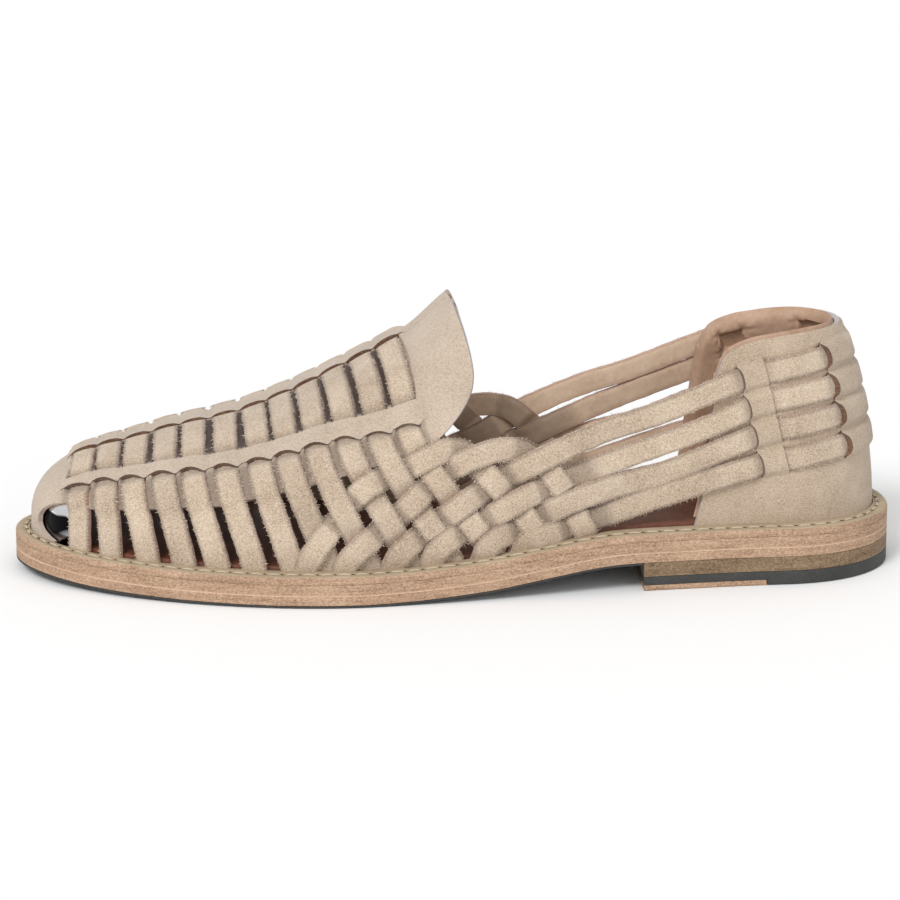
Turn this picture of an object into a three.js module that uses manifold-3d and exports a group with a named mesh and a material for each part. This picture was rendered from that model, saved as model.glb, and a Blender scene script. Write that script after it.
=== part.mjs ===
// Woven leather huarache sandal for a left foot, built from the sole up.
// Millimetres, +Z up, toe towards -X, outer (lateral) side towards -Y.
import * as THREE from 'three';
import Module from 'manifold-3d';

const wasm = await Module();
wasm.setup();

// Overall sizes
const shoeLength = 300;
const ballWidth = 109;
const instepRise = 78; // top centre line above the welt at the middle of the shoe
const toeSpring = 3.3;

// Sole layers, from the ground up
const heelTopThickness = 1.8;
const heelRubberThickness = 2.9;
const heelLiftThickness = 4.9;
const gripThickness = 0.7;
const outsoleThickness = 3.6;
const midsoleThickness = 3.5;
const weltThickness = 2.7;
const insoleThickness = 3.3;
const heelLength = 89;
const heelTipLength = 42;

// Plan outline
const heelRoundLength = 40;
const lateralToeRound = 110;
const medialToeRound = 90;
const toeSwing = 5; // how far the toe bends towards the inner side
const weltSideWidth = 8;
const weltEndWidth = 5;

// Leather
const strapThickness = 2;
const weaveThickness = 3.4;
const strapWidth = 8.6;
const rearStrapWidth = 7.4;
const counterThickness = 1.8;
const liningThickness = 3;
const plateThickness = 1;
const clearance = 0.3;
const insoleClearance = 0.6; // beside the upper
const plateClearance = 0.5; // behind the upper

// Rounding of the toe box and of the sections
const toeBoxLength = 27;
const toeBoxPower = 2.9;
const outlineHeelPower = 2.1;
const outlineToePower = 2;
const heelRidgeShare = 0.15;
const strapLean = 1.6;

// Stations run from 0 at the back of the heel to 1 at the toe, as shares of the shoe's length.
// Half widths of the sole, as shares of the ball width
const planRows = [
  { at: 0, lateral: 0.344, medial: 0.335 },
  { at: 0.15, lateral: 0.355, medial: 0.339 },
  { at: 0.3, lateral: 0.394, medial: 0.321 },
  { at: 0.417, lateral: 0.445, medial: 0.321 },
  { at: 0.55, lateral: 0.495, medial: 0.385 },
  { at: 0.633, lateral: 0.514, medial: 0.454 },
  { at: 0.717, lateral: 0.514, medial: 0.486 },
  { at: 1, lateral: 0.514, medial: 0.459 },
];

// The ball of the sole lies flat on the ground between these two stations
const ballBack = 0.607;
const ballFront = 0.707;

// Arch from the heel's front face (0) to the back of the ball (1), as a share of the heel's height
const archRows = [
  { along: 0, lift: 1 },
  { along: 0.1, lift: 0.97 },
  { along: 0.2, lift: 0.87 },
  { along: 0.3, lift: 0.715 },
  { along: 0.4, lift: 0.55 },
  { along: 0.54, lift: 0.32 },
  { along: 0.7, lift: 0.16 },
  { along: 0.85, lift: 0.05 },
  { along: 1, lift: 0 },
];

// Toe spring from the front of the ball (0) to the tip (1)
const springRows = [
  { along: 0, lift: 0 },
  { along: 0.32, lift: 0.12 },
  { along: 0.66, lift: 0.39 },
  { along: 1, lift: 1 },
];

// Top centre line: rise above the welt as a share of the instep rise, shift to the inner side in
// shares of the ball width, and the power of the section's quarter curve
const ridgeRows = [
  { at: 0, rise: 1.187, shift: 0, power: 1.75 },
  { at: 0.2, rise: 1.187, shift: 0, power: 1.9 },
  { at: 0.333, rise: 1.13, shift: 0.012, power: 2.02 },
  { at: 0.433, rise: 1.06, shift: 0.035, power: 2.12 },
  { at: 0.5, rise: 0.975, shift: 0.055, power: 2.2 },
  { at: 0.55, rise: 0.864, shift: 0.066, power: 2.24 },
  { at: 0.617, rise: 0.73, shift: 0.083, power: 2.3 },
  { at: 0.683, rise: 0.603, shift: 0.09, power: 2.36 },
  { at: 0.75, rise: 0.504, shift: 0.092, power: 2.4 },
  { at: 0.817, rise: 0.442, shift: 0.088, power: 2.4 },
  { at: 0.873, rise: 0.378, shift: 0.083, power: 2.4 },
  { at: 1, rise: 0.26, shift: 0.046, power: 2.4 },
];

// Cross straps from the toe back: where each meets the welt, dives under the side band, and
// crosses the top centre line
const crossStraps = [
  { foot: 0.923, slit: 0.922, ridge: 0.915 },
  { foot: 0.888, slit: 0.891, ridge: 0.888 },
  { foot: 0.847, slit: 0.861, ridge: 0.856 },
  { foot: 0.807, slit: 0.827, ridge: 0.824 },
  { foot: 0.77, slit: 0.795, ridge: 0.793 },
  { foot: 0.73, slit: 0.758, ridge: 0.758 },
  { foot: 0.688, slit: 0.721, ridge: 0.725 },
  { foot: 0.647, slit: 0.69, ridge: 0.695 },
  { foot: 0.603, slit: 0.658, ridge: 0.664 },
  { foot: 0.557, slit: 0.624, ridge: 0.635 },
  { foot: 0.512, slit: 0.59, ridge: 0.604 },
  { foot: 0.465, slit: 0.558, ridge: 0.573 },
];
const lastOpenStrap = 8; // the straps behind it close up into the side weave

// Lines of the side weave behind the cross straps, with the same three places
const weaveLines = [
  { foot: 0.413, slit: 0.5, ridge: 0.48 },
  { foot: 0.393, slit: 0.467, ridge: 0.46 },
  { foot: 0.373, slit: 0.433, ridge: 0.43 },
  { foot: 0.347, slit: 0.4, ridge: 0.4 },
];

// Heights on the side of the shoe run from 0 at the welt to 1 on the top centre line.
// Free edge at the end of the tongue
const tongueRows = [
  { height: 0, at: 0.44 },
  { height: 0.336, at: 0.53 },
  { height: 0.37, at: 0.513 },
  { height: 0.403, at: 0.499 },
  { height: 0.44, at: 0.489 },
  { height: 0.504, at: 0.483 },
  { height: 0.6, at: 0.487 },
  { height: 0.8, at: 0.494 },
  { height: 1, at: 0.5 },
];

// Lower edge of the vamp sheet, the slit row above it, and the upper edge of the weave
const sheetRows = [
  { at: 0.373, edge: 0.25, slit: 0.4 },
  { at: 0.42, edge: 0.236, slit: 0.41 },
  { at: 0.447, edge: 0.256, slit: 0.42 },
  { at: 0.497, edge: 0.301, slit: 0.43 },
  { at: 0.535, edge: 0.336, slit: 0.437 },
  { at: 0.59, edge: 0.333, slit: 0.457 },
  { at: 0.66, edge: 0.327, slit: 0.506 },
  { at: 0.73, edge: 0.312, slit: 0.516 },
  { at: 0.77, edge: 0.292, slit: 0.52 },
  { at: 0.907, edge: 0.293, slit: 0.52 },
  { at: 0.937, edge: 0.373, slit: 0.5 },
  { at: 0.957, edge: 0.39, slit: 0.49 },
  { at: 0.966, edge: 0.34, slit: 0.49 },
  { at: 1, edge: 0.3, slit: 0.49 },
];
const sideBandHeight = 0.085;
const topBandStart = 0.94;

// Middles of the four rear straps, from the highest to the lowest
const rearRows = [
  { at: 0.023, first: 0.44, second: 0.362, third: 0.287, fourth: 0.21 },
  { at: 0.067, first: 0.425, second: 0.346, third: 0.273, fourth: 0.196 },
  { at: 0.15, first: 0.387, second: 0.311, third: 0.236, fourth: 0.16 },
  { at: 0.19, first: 0.36, second: 0.277, third: 0.206, fourth: 0.137 },
  { at: 0.287, first: 0.28, second: 0.198, third: 0.13, fourth: 0.074 },
  { at: 0.367, first: 0.236, second: 0.154, third: 0.094, fourth: 0.031 },
  { at: 0.433, first: 0.198, second: 0.13, third: 0.085, fourth: 0.03 },
];
const rearStrapNames = ['fourth', 'third', 'second', 'first'];
const weaveBlendStart = 0.347;
const weaveBlendEnd = 0.42;

// Height of the heel counter's rim; its front edge leans back from the foot to the rim
const rimRows = [
  { at: 0.023, height: 0.508 },
  { at: 0.07, height: 0.502 },
  { at: 0.12, height: 0.49 },
  { at: 0.165, height: 0.472 },
  { at: 0.187, height: 0.45 },
  { at: 0.2, height: 0.425 },
  { at: 0.211, height: 0.37 },
];
const counterFootStation = 0.235;
const counterRimStation = 0.211;

// Metal toe plate inside the toe: its back end is a share of the toe box, back from its end
const plateBackShare = 0.663;
const plateFootGap = 0.4; // above the insole
const plateBottomRise = clearance + insoleThickness - weltThickness + plateFootGap;
const plateTopRise = 15;

const lateral = -1;
const medial = 1;
const sides = [lateral, medial];

// Smooth rise from 0 to 1 between two stations
function ramp(x, from, to) {
  return THREE.MathUtils.smoothstep(x, from, to);
}

// Monotone cubic curve through one column of a table
function follow(rows, key, column, x) {
  const last = rows.length - 1;
  const place = THREE.MathUtils.clamp(x, rows[0][key], rows[last][key]);
  let i = 0;
  while (i < last - 1 && rows[i + 1][key] <= place) {
    i += 1;
  }
  const slope = (k) => (rows[k + 1][column] - rows[k][column]) / (rows[k + 1][key] - rows[k][key]);
  const tangent = (k) => {
    if (k === 0) {
      return slope(0);
    }
    if (k === last) {
      return slope(last - 1);
    }
    const before = slope(k - 1);
    const after = slope(k);
    return before * after > 0 ? (2 * before * after) / (before + after) : 0;
  };
  const step = rows[i + 1][key] - rows[i][key];
  const t = (place - rows[i][key]) / step;
  const rising = t * t * (3 - 2 * t);
  const ends = (1 - rising) * rows[i][column] + rising * rows[i + 1][column];
  return ends + step * (t * (1 - t) * (1 - t) * tangent(i) - t * t * (1 - t) * tangent(i + 1));
}

// Quarter curve that rises steeply from 0 and levels out at 1
function roundEnd(t, power) {
  const inside = THREE.MathUtils.clamp(1 - t, 0, 1);
  return (1 - inside ** power) ** (1 / power);
}

function toeCentre(at) {
  return toeSwing * ramp(at, 0.63, 1);
}

// Half width of the sole, drawn in by one amount at the sides and another at the ends
function halfWidth(side, s, sideInset, endInset) {
  const column = side === lateral ? 'lateral' : 'medial';
  const width = follow(planRows, 'at', column, s / shoeLength) * ballWidth - sideInset;
  const toeRound = side === lateral ? lateralToeRound : medialToeRound;
  const heelPart = roundEnd((s - endInset) / (heelRoundLength - endInset), outlineHeelPower);
  const toePart = roundEnd((shoeLength - endInset - s) / (toeRound - endInset), outlineToePower);
  return width * heelPart * toePart;
}

function outlineY(side, s, sideInset, endInset) {
  return toeCentre(s / shoeLength) + side * halfWidth(side, s, sideInset, endInset);
}

const heelHeight = heelTopThickness + heelRubberThickness + heelLiftThickness;

function outsoleBottom(s) {
  const back = ballBack * shoeLength;
  const front = ballFront * shoeLength;
  const arch = follow(archRows, 'along', 'lift', (s - heelLength) / (back - heelLength));
  const spring = follow(springRows, 'along', 'lift', (s - front) / (shoeLength - front));
  return gripThickness + arch * (heelHeight - gripThickness) + spring * toeSpring;
}

function midsoleTop(s) {
  return outsoleBottom(s) + outsoleThickness + midsoleThickness;
}

function weltTop(s) {
  return midsoleTop(s) + weltThickness;
}

const lastSideInset = weltSideWidth + strapThickness;
const lastEndInset = weltEndWidth + strapThickness;
const lastStart = lastEndInset;
const lastEnd = shoeLength - lastEndInset;

function ridgeRise(s) {
  const toeDrop = roundEnd((lastEnd - s) / toeBoxLength, toeBoxPower);
  return follow(ridgeRows, 'at', 'rise', s / shoeLength) * instepRise * toeDrop;
}

function sectionPower(s) {
  return follow(ridgeRows, 'at', 'power', s / shoeLength);
}

// Surface of the last: each section is a quarter curve from the welt line up to the top centre line
function lastPoint(side, s, height) {
  const topStation = Math.max(s, heelRidgeShare * shoeLength);
  const share = topStation / shoeLength;
  const foot = new THREE.Vector3(s, outlineY(side, s, lastSideInset, lastEndInset), weltTop(s));
  const shift = follow(ridgeRows, 'at', 'shift', share) * ballWidth;
  const ridgeY = THREE.MathUtils.lerp(toeCentre(share), shift, ramp(lastEnd - s, 0, toeBoxLength));
  const ridge = new THREE.Vector3(topStation, ridgeY, weltTop(topStation) + ridgeRise(topStation));
  const angle = (THREE.MathUtils.clamp(height, 0, 1) * Math.PI) / 2;
  const power = sectionPower(s);
  const inward = 1 - Math.max(Math.cos(angle), 0) ** (2 / power);
  const upward = Math.sin(angle) ** (2 / power);
  return new THREE.Vector3(
    shoeLength / 2 - THREE.MathUtils.lerp(foot.x, ridge.x, inward),
    THREE.MathUtils.lerp(foot.y, ridge.y, inward),
    THREE.MathUtils.lerp(foot.z, ridge.z, upward),
  );
}

// How much the height number changes over one millimetre of leather
function heightPerMillimetre(side, s, height) {
  const step = 0.02;
  const low = lastPoint(side, s, height - step);
  const high = lastPoint(side, s, height + step);
  return (2 * step) / low.distanceTo(high);
}

// Collects triangles, shares equal corners and makes the closed body
function solidBuilder() {
  const positions = [];
  const indices = [];
  const known = new Map();

  function corner(point) {
    const key = point.toArray().map((value) => Math.round(value * 1000)).join(' ');
    if (!known.has(key)) {
      known.set(key, positions.length / 3);
      positions.push(point.x, point.y, point.z);
    }
    return known.get(key);
  }

  function triangle(a, b, c) {
    if (a !== b && b !== c && c !== a) {
      indices.push(a, b, c);
    }
  }

  function quad(a, b, c, d) {
    triangle(a, b, c);
    triangle(a, c, d);
  }

  function signedVolume() {
    const at = (i) => new THREE.Vector3().fromArray(positions, indices[i] * 3);
    let total = 0;
    for (let i = 0; i < indices.length; i += 3) {
      total += at(i).dot(at(i + 1).cross(at(i + 2)));
    }
    return total;
  }

  function finish() {
    const outward = signedVolume() > 0;
    const order = outward ? indices : indices.slice().reverse();
    const geometry = new THREE.BufferGeometry();
    geometry.setAttribute('position', new THREE.Float32BufferAttribute(positions, 3));
    geometry.setIndex(order);
    geometry.computeVertexNormals();
    return geometry;
  }

  return { corner, quad, finish };
}

// Stations between two places, close together at both ends, where the outline turns
function stationsBetween(from, to, count) {
  const stations = [];
  for (let i = 0; i <= count; i += 1) {
    stations.push(THREE.MathUtils.lerp(from, to, (1 - Math.cos((Math.PI * i) / count)) / 2));
  }
  return stations;
}

// Layers that lie on each other share these stations, with one at each place where the sole bends
const soleBends = [heelLength, heelLength + clearance, ballBack * shoeLength, ballFront * shoeLength];
const soleStations = [
  ...soleBends,
  ...stationsBetween(0, shoeLength, 32).filter((s) => soleBends.every((bend) => Math.abs(s - bend) > 1)),
].sort((a, b) => a - b);

function layerStations(from, to) {
  return [from, ...soleStations.filter((s) => s > from && s < to), to];
}

// A flat layer of the sole between two stations and two heights that follow the length
function layerGeometry({ from, to, sideInset = 0, endInset = 0, bottom, top, stations }) {
  const builder = solidBuilder();
  const sections = (stations ?? layerStations(from, to)).map((s) => {
    const x = shoeLength / 2 - s;
    const outerY = outlineY(lateral, s, sideInset, endInset);
    const innerY = outlineY(medial, s, sideInset, endInset);
    return [
      new THREE.Vector3(x, outerY, bottom(s)),
      new THREE.Vector3(x, outerY, top(s)),
      new THREE.Vector3(x, innerY, top(s)),
      new THREE.Vector3(x, innerY, bottom(s)),
    ].map(builder.corner);
  });
  for (let i = 0; i + 1 < sections.length; i += 1) {
    const here = sections[i];
    const next = sections[i + 1];
    for (let k = 0; k < 4; k += 1) {
      const following = (k + 1) % 4;
      builder.quad(here[k], here[following], next[following], next[k]);
    }
  }
  builder.quad(...sections[0].slice().reverse());
  builder.quad(...sections[sections.length - 1]);
  return builder.finish();
}

// Where a piece of leather that stands on the welt line has its outer face, seen from above
function footOutline(side, s, distance) {
  const step = 0.02;
  const foot = (at) => new THREE.Vector2(
    shoeLength / 2 - at,
    outlineY(side, at, lastSideInset, lastEndInset),
  );
  const behind = foot(Math.max(s - step, lastStart));
  const ahead = foot(Math.min(s + step, lastEnd));
  const along = ahead.sub(behind).normalize();
  const outward = new THREE.Vector2(along.y, -along.x).multiplyScalar(side);
  return foot(s).addScaledVector(outward, distance);
}

// The welt: a ring from the sole's edge to just outside the upper
function weltGeometry() {
  const builder = solidBuilder();
  const count = 48;
  const outerStations = stationsBetween(0, shoeLength, count);
  const innerStations = stationsBetween(lastStart, lastEnd, count);
  const section = (side, i) => {
    const outerY = outlineY(side, outerStations[i], 0, 0);
    const outer = new THREE.Vector2(shoeLength / 2 - outerStations[i], outerY);
    const inner = footOutline(side, innerStations[i], strapThickness + clearance);
    if (i === 0 || i === count) {
      inner.y = outer.y;
    }
    const raised = (point, height) => new THREE.Vector3(point.x, point.y, height(shoeLength / 2 - point.x));
    const bottom = (s) => midsoleTop(s) + clearance;
    return [
      raised(outer, bottom),
      raised(outer, weltTop),
      raised(inner, weltTop),
      raised(inner, bottom),
    ].map(builder.corner);
  };
  const ring = [];
  for (let i = 0; i <= count; i += 1) {
    ring.push(section(lateral, i));
  }
  for (let i = count - 1; i > 0; i -= 1) {
    ring.push(section(medial, i));
  }
  ring.forEach((here, i) => {
    const next = ring[(i + 1) % ring.length];
    for (let k = 0; k < 4; k += 1) {
      const following = (k + 1) % 4;
      builder.quad(here[k], here[following], next[following], next[k]);
    }
  });
  return builder.finish();
}

// Leather of real thickness on the last. The grid has both sides of the shoe: place(side, column,
// row) gives a station and a height, filled(column, row) says which cells are leather, and inner
// and outer give the two faces' distances from the last.
function shellGeometry({ columns, rows, place, filled, inner, outer }) {
  const points = [];
  const known = new Map();
  const grid = new Map();
  const cellKey = (side, c, r) => `${side} ${c} ${r}`;
  for (const side of sides) {
    for (let c = 0; c < columns; c += 1) {
      for (let r = 0; r < rows; r += 1) {
        const spot = place(side, c, r);
        const position = lastPoint(side, spot.s, spot.height);
        position.z -= spot.drop ?? 0;
        const key = position.toArray().map((value) => Math.round(value * 1000)).join(' ');
        if (!known.has(key)) {
          known.set(key, points.length);
          points.push({ position, normal: new THREE.Vector3(), spot });
        }
        grid.set(cellKey(side, c, r), known.get(key));
      }
    }
  }
  const columnsRunBack = place(lateral, 0, 0).s > place(lateral, columns - 1, 0).s;
  const triangles = [];
  for (const side of sides) {
    for (let c = 0; c + 1 < columns; c += 1) {
      for (let r = 0; r + 1 < rows; r += 1) {
        const corners = [[c, r], [c, r + 1], [c + 1, r + 1], [c + 1, r]];
        const ring = corners.map(([i, j]) => grid.get(cellKey(side, i, j)));
        if ((side === medial) !== columnsRunBack) {
          ring.reverse();
        }
        const halves = [[ring[0], ring[1], ring[2]], [ring[0], ring[2], ring[3]]];
        for (const [a, b, d] of halves) {
          if (!filled(c, r) || a === b || b === d || d === a) {
            continue;
          }
          const normal = new THREE.Triangle(points[a].position, points[b].position, points[d].position);
          const facing = normal.getNormal(new THREE.Vector3()).multiplyScalar(normal.getArea());
          for (const i of [a, b, d]) {
            points[i].normal.add(facing);
          }
          triangles.push([a, b, d]);
        }
      }
    }
  }
  const builder = solidBuilder();
  const face = (distance) => points.map((point) => {
    const offset = point.normal.clone().normalize().multiplyScalar(distance(point.spot));
    return point.position.clone().add(offset);
  });
  const innerFace = face(inner);
  const outerFace = face(outer);
  const outerCorner = (i) => builder.corner(outerFace[i]);
  const innerCorner = (i) => builder.corner(innerFace[i]);
  const edges = new Set();
  for (const [a, b, d] of triangles) {
    builder.quad(outerCorner(a), outerCorner(b), outerCorner(d), outerCorner(d));
    builder.quad(innerCorner(d), innerCorner(b), innerCorner(a), innerCorner(a));
    edges.add(`${a} ${b}`);
    edges.add(`${b} ${d}`);
    edges.add(`${d} ${a}`);
  }
  for (const edge of edges) {
    const [a, b] = edge.split(' ').map(Number);
    if (!edges.has(`${b} ${a}`)) {
      builder.quad(outerCorner(b), outerCorner(a), innerCorner(a), innerCorner(b));
    }
  }
  return builder.finish();
}

// Row lines of the upper: the tucked edge, the welt line, the edges of the four rear straps (which
// spread evenly up to the sheet's edge in front), then the slit row, side band and window
const rearLineCount = 2 * rearStrapNames.length;
const footLine = 1;
const edgeLine = footLine + rearLineCount;
const slitLine = edgeLine + 2;
const bandLine = slitLine + 1;
const windowLines = 4;
const topBandLine = bandLine + windowLines;
const ridgeLine = topBandLine + 1;

function rearStrapHeights(side, share) {
  const middles = rearStrapNames.map((name) => follow(rearRows, 'at', name, share));
  const perMillimetre = heightPerMillimetre(side, share * shoeLength, middles[1]);
  const lines = [];
  middles.forEach((middle, k) => {
    const below = k > 0 ? middle - middles[k - 1] : middle * 2;
    const above = k + 1 < middles.length ? middles[k + 1] - middle : Infinity;
    const half = Math.min((rearStrapWidth / 2) * perMillimetre, 0.44 * below, 0.44 * above);
    lines.push(middle - half, middle + half);
  });
  return lines;
}

function lineHeight(side, line, share) {
  if (line <= footLine) {
    return 0;
  }
  const edge = follow(sheetRows, 'at', 'edge', share);
  if (line <= edgeLine) {
    const even = (edge * (line - footLine)) / rearLineCount;
    const rear = rearStrapHeights(side, share)[line - footLine - 1];
    return THREE.MathUtils.lerp(rear, even, ramp(share, weaveBlendStart, weaveBlendEnd));
  }
  const slit = follow(sheetRows, 'at', 'slit', share);
  if (line <= slitLine) {
    return THREE.MathUtils.lerp(edge, slit, (line - edgeLine) / (slitLine - edgeLine));
  }
  if (line < ridgeLine) {
    const upward = (line - bandLine) / windowLines;
    return THREE.MathUtils.lerp(slit + sideBandHeight, topBandStart, upward);
  }
  return 1;
}

// Column lines of the upper, from the toe back
const heelStations = [0.187, 0.153, 0.12, 0.087, 0.06, 0.042, 0.031, 0.0255];
const toeTabShare = 0.096; // this and the next are shares of the toe box, back from its end
const toeShares = [0, 0.013, toeTabShare, 0.174, 0.285, 0.374];
const toeStations = toeShares.map((share) => (lastEnd - share * toeBoxLength) / shoeLength);
const rearStations = [0.32, 0.287, 0.253, 0.22, ...heelStations];
const upright = (at) => ({ foot: at, slit: at, ridge: at });
const shifted = (strap, amount) => ({
  foot: strap.foot + amount,
  slit: strap.slit + amount,
  ridge: strap.ridge + amount,
});
const halfStrap = strapWidth / 2 / shoeLength;
const upperColumns = [
  ...toeStations.map(upright),
  ...crossStraps.flatMap((strap) => [shifted(strap, halfStrap), shifted(strap, -halfStrap)]),
  { tongue: true },
  ...weaveLines,
  ...rearStations.map(upright),
  upright(lastStart / shoeLength),
];
const toeTabColumn = toeShares.indexOf(toeTabShare);
const firstStrapColumn = toeStations.length;
const tongueColumn = firstStrapColumn + 2 * crossStraps.length;
const weaveEndColumn = tongueColumn + weaveLines.length;

function stationOnColumn(column, height, slit) {
  if (column.tongue) {
    return follow(tongueRows, 'height', 'at', height);
  }
  if (height < slit) {
    const lean = 1 - (1 - height / slit) ** strapLean;
    return THREE.MathUtils.lerp(column.foot, column.slit, lean);
  }
  return THREE.MathUtils.lerp(column.slit, column.ridge, (height - slit) / (1 - slit));
}

function upperPlace(side, c, line) {
  const column = upperColumns[c];
  let share = column.tongue ? tongueRows[1].at : column.foot;
  let height = 0;
  for (let round = 0; round < 6; round += 1) {
    height = lineHeight(side, line, share);
    share = stationOnColumn(column, height, lineHeight(side, slitLine, share));
  }
  const drop = line === 0 ? weltThickness - clearance : 0;
  return { s: share * shoeLength, height, drop, line };
}

function upperFilled(c, row) {
  const belowSheet = row < edgeLine;
  if (c < firstStrapColumn) {
    return !belowSheet || c < toeTabColumn;
  }
  if (c < tongueColumn) {
    const strap = Math.floor((c - firstStrapColumn) / 2);
    const onStrap = (c - firstStrapColumn) % 2 === 0;
    return !belowSheet || onStrap || strap >= lastOpenStrap;
  }
  if (c < weaveEndColumn) {
    return belowSheet;
  }
  return belowSheet && row > footLine && (row - footLine) % 2 === 1;
}

// The rear straps pass round the counter and come down to the last in front of it
const counterReach = counterRimStation + 0.02;
const lastReach = counterReach + 0.08;

function upperInner({ s }) {
  return (counterThickness + clearance) * (1 - ramp(s / shoeLength, counterReach, lastReach));
}

// Where straps cross over straps the wall is thicker
const weaveAlong = { start: 0.35, full: 0.4, fade: 0.56, end: 0.66 };
const weaveUp = { start: 0.02, full: 0.1, fade: 0.28, end: 0.36 };

function swell(x, reach) {
  return ramp(x, reach.start, reach.full) * (1 - ramp(x, reach.fade, reach.end));
}

function upperOuter(spot) {
  const woven = swell(spot.s / shoeLength, weaveAlong) * swell(spot.height, weaveUp);
  return upperInner(spot) + strapThickness + (weaveThickness - strapThickness) * woven;
}

// The counter and its lining stand on the same column lines as the upper does behind them
const counterStations = [lastStart / shoeLength, ...heelStations.slice().reverse(), 0.2, counterRimStation];

// Heights climb evenly from the bottom to the rim; the front edge leans, and setback draws it in
function counterGrid({ rowCount, bottom, rimDrop, setback }) {
  return (side, c, r) => {
    const at = counterStations[c];
    const rim = follow(rimRows, 'at', 'height', at) - rimDrop;
    const height = THREE.MathUtils.lerp(bottom, rim, r / (rowCount - 1));
    const lean = (counterFootStation - counterRimStation) * (1 - height / rim);
    const forward = ramp(at, heelStations[0], counterRimStation);
    return { s: (at + lean * forward) * shoeLength - setback * forward, height };
  };
}

const counterRows = 8;
const counterWall = counterGrid({ rowCount: counterRows - 1, bottom: 0, rimDrop: 0, setback: 0 });

// The counter's first row is tucked down beside the insole
function counterPlace(side, c, r) {
  return r === 0
    ? { ...counterWall(side, c, 0), drop: weltThickness - clearance }
    : counterWall(side, c, r - 1);
}

const insoleTop = (s) => midsoleTop(s) + clearance + insoleThickness;
const liningPlace = counterGrid({ rowCount: counterRows, bottom: 0.03, rimDrop: 0.004, setback: 3 });

// Height number of the point that lies so many millimetres above the welt
function heightOfRise(s, rise) {
  const share = THREE.MathUtils.clamp(rise / ridgeRise(s), 0, 1);
  return (Math.asin(share ** (sectionPower(s) / 2)) * 2) / Math.PI;
}

// Station near the toe where the top centre line has dropped to this rise
function stationOfRise(rise) {
  let back = lastEnd - toeBoxLength;
  let front = lastEnd;
  for (let round = 0; round < 50; round += 1) {
    const middle = (back + front) / 2;
    if (ridgeRise(middle) > rise) {
      back = middle;
    } else {
      front = middle;
    }
  }
  return back;
}

const plateRows = 5;
const plateRises = [plateTopRise, 10, 6, 3, plateBottomRise];
const plateBack = lastEnd - plateBackShare * toeBoxLength;
const plateTurn = stationOfRise(plateTopRise);
const plateStations = [
  plateBack,
  THREE.MathUtils.lerp(plateBack, plateTurn, 0.4),
  THREE.MathUtils.lerp(plateBack, plateTurn, 0.75),
  ...plateRises.map(stationOfRise),
];

// The plate is a band of even height that runs round the front of the toe
function platePlace(side, c, r) {
  const s = plateStations[c];
  const top = c + 1 < plateStations.length ? plateTopRise : plateBottomRise;
  const up = r / (plateRows - 1);
  const rise = THREE.MathUtils.lerp(plateBottomRise, Math.min(top, ridgeRise(s)), up);
  const onRidge = c + plateRises.length >= plateStations.length && r + 1 === plateRows;
  return { s, height: onRidge || c + 1 === plateStations.length ? 1 : heightOfRise(s, rise) };
}

const allFilled = () => true;
const constant = (distance) => () => distance;

// Joins overlapping closed bodies into one
function join(geometries) {
  const solids = geometries.map((geometry) => new wasm.Manifold(new wasm.Mesh({
    numProp: 3,
    vertProperties: Float32Array.from(geometry.getAttribute('position').array),
    triVerts: Uint32Array.from(geometry.getIndex().array),
  })));
  const mesh = solids.reduce((whole, solid) => whole.add(solid)).getMesh();
  const geometry = new THREE.BufferGeometry();
  geometry.setAttribute('position', new THREE.Float32BufferAttribute(mesh.vertProperties, 3));
  geometry.setIndex([...mesh.triVerts]);
  geometry.computeVertexNormals();
  return geometry;
}

// Heel rubber: a full layer, and behind the leather tip it reaches the ground
const heelTipBack = heelLength - heelTipLength;

function heelRubberGeometry() {
  const top = constant(heelTopThickness + heelRubberThickness);
  const upper = layerGeometry({
    from: 0,
    to: heelLength,
    bottom: constant(heelTopThickness),
    top,
    stations: stationsBetween(0, heelLength, 16),
  });
  const back = layerGeometry({
    from: 0,
    to: heelTipBack - clearance,
    bottom: constant(0),
    top,
    stations: stationsBetween(0, heelTipBack - clearance, 12),
  });
  return join([upper, back]);
}

const colours = {
  suede: 0xcbbfaf,
  taupe: 0xa28a74,
  welt: 0xbcae90,
  sole: 0xc09a78,
  lift: 0x967861,
  rubber: 0x3c3c3a,
  insole: 0x5a3a2c,
  metal: 0xcfcfcf,
};

function piece(name, geometry, color, roughness, metalness = 0) {
  const material = new THREE.MeshStandardMaterial({ color, roughness, metalness });
  const mesh = new THREE.Mesh(geometry, material);
  mesh.name = name;
  return mesh;
}

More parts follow.
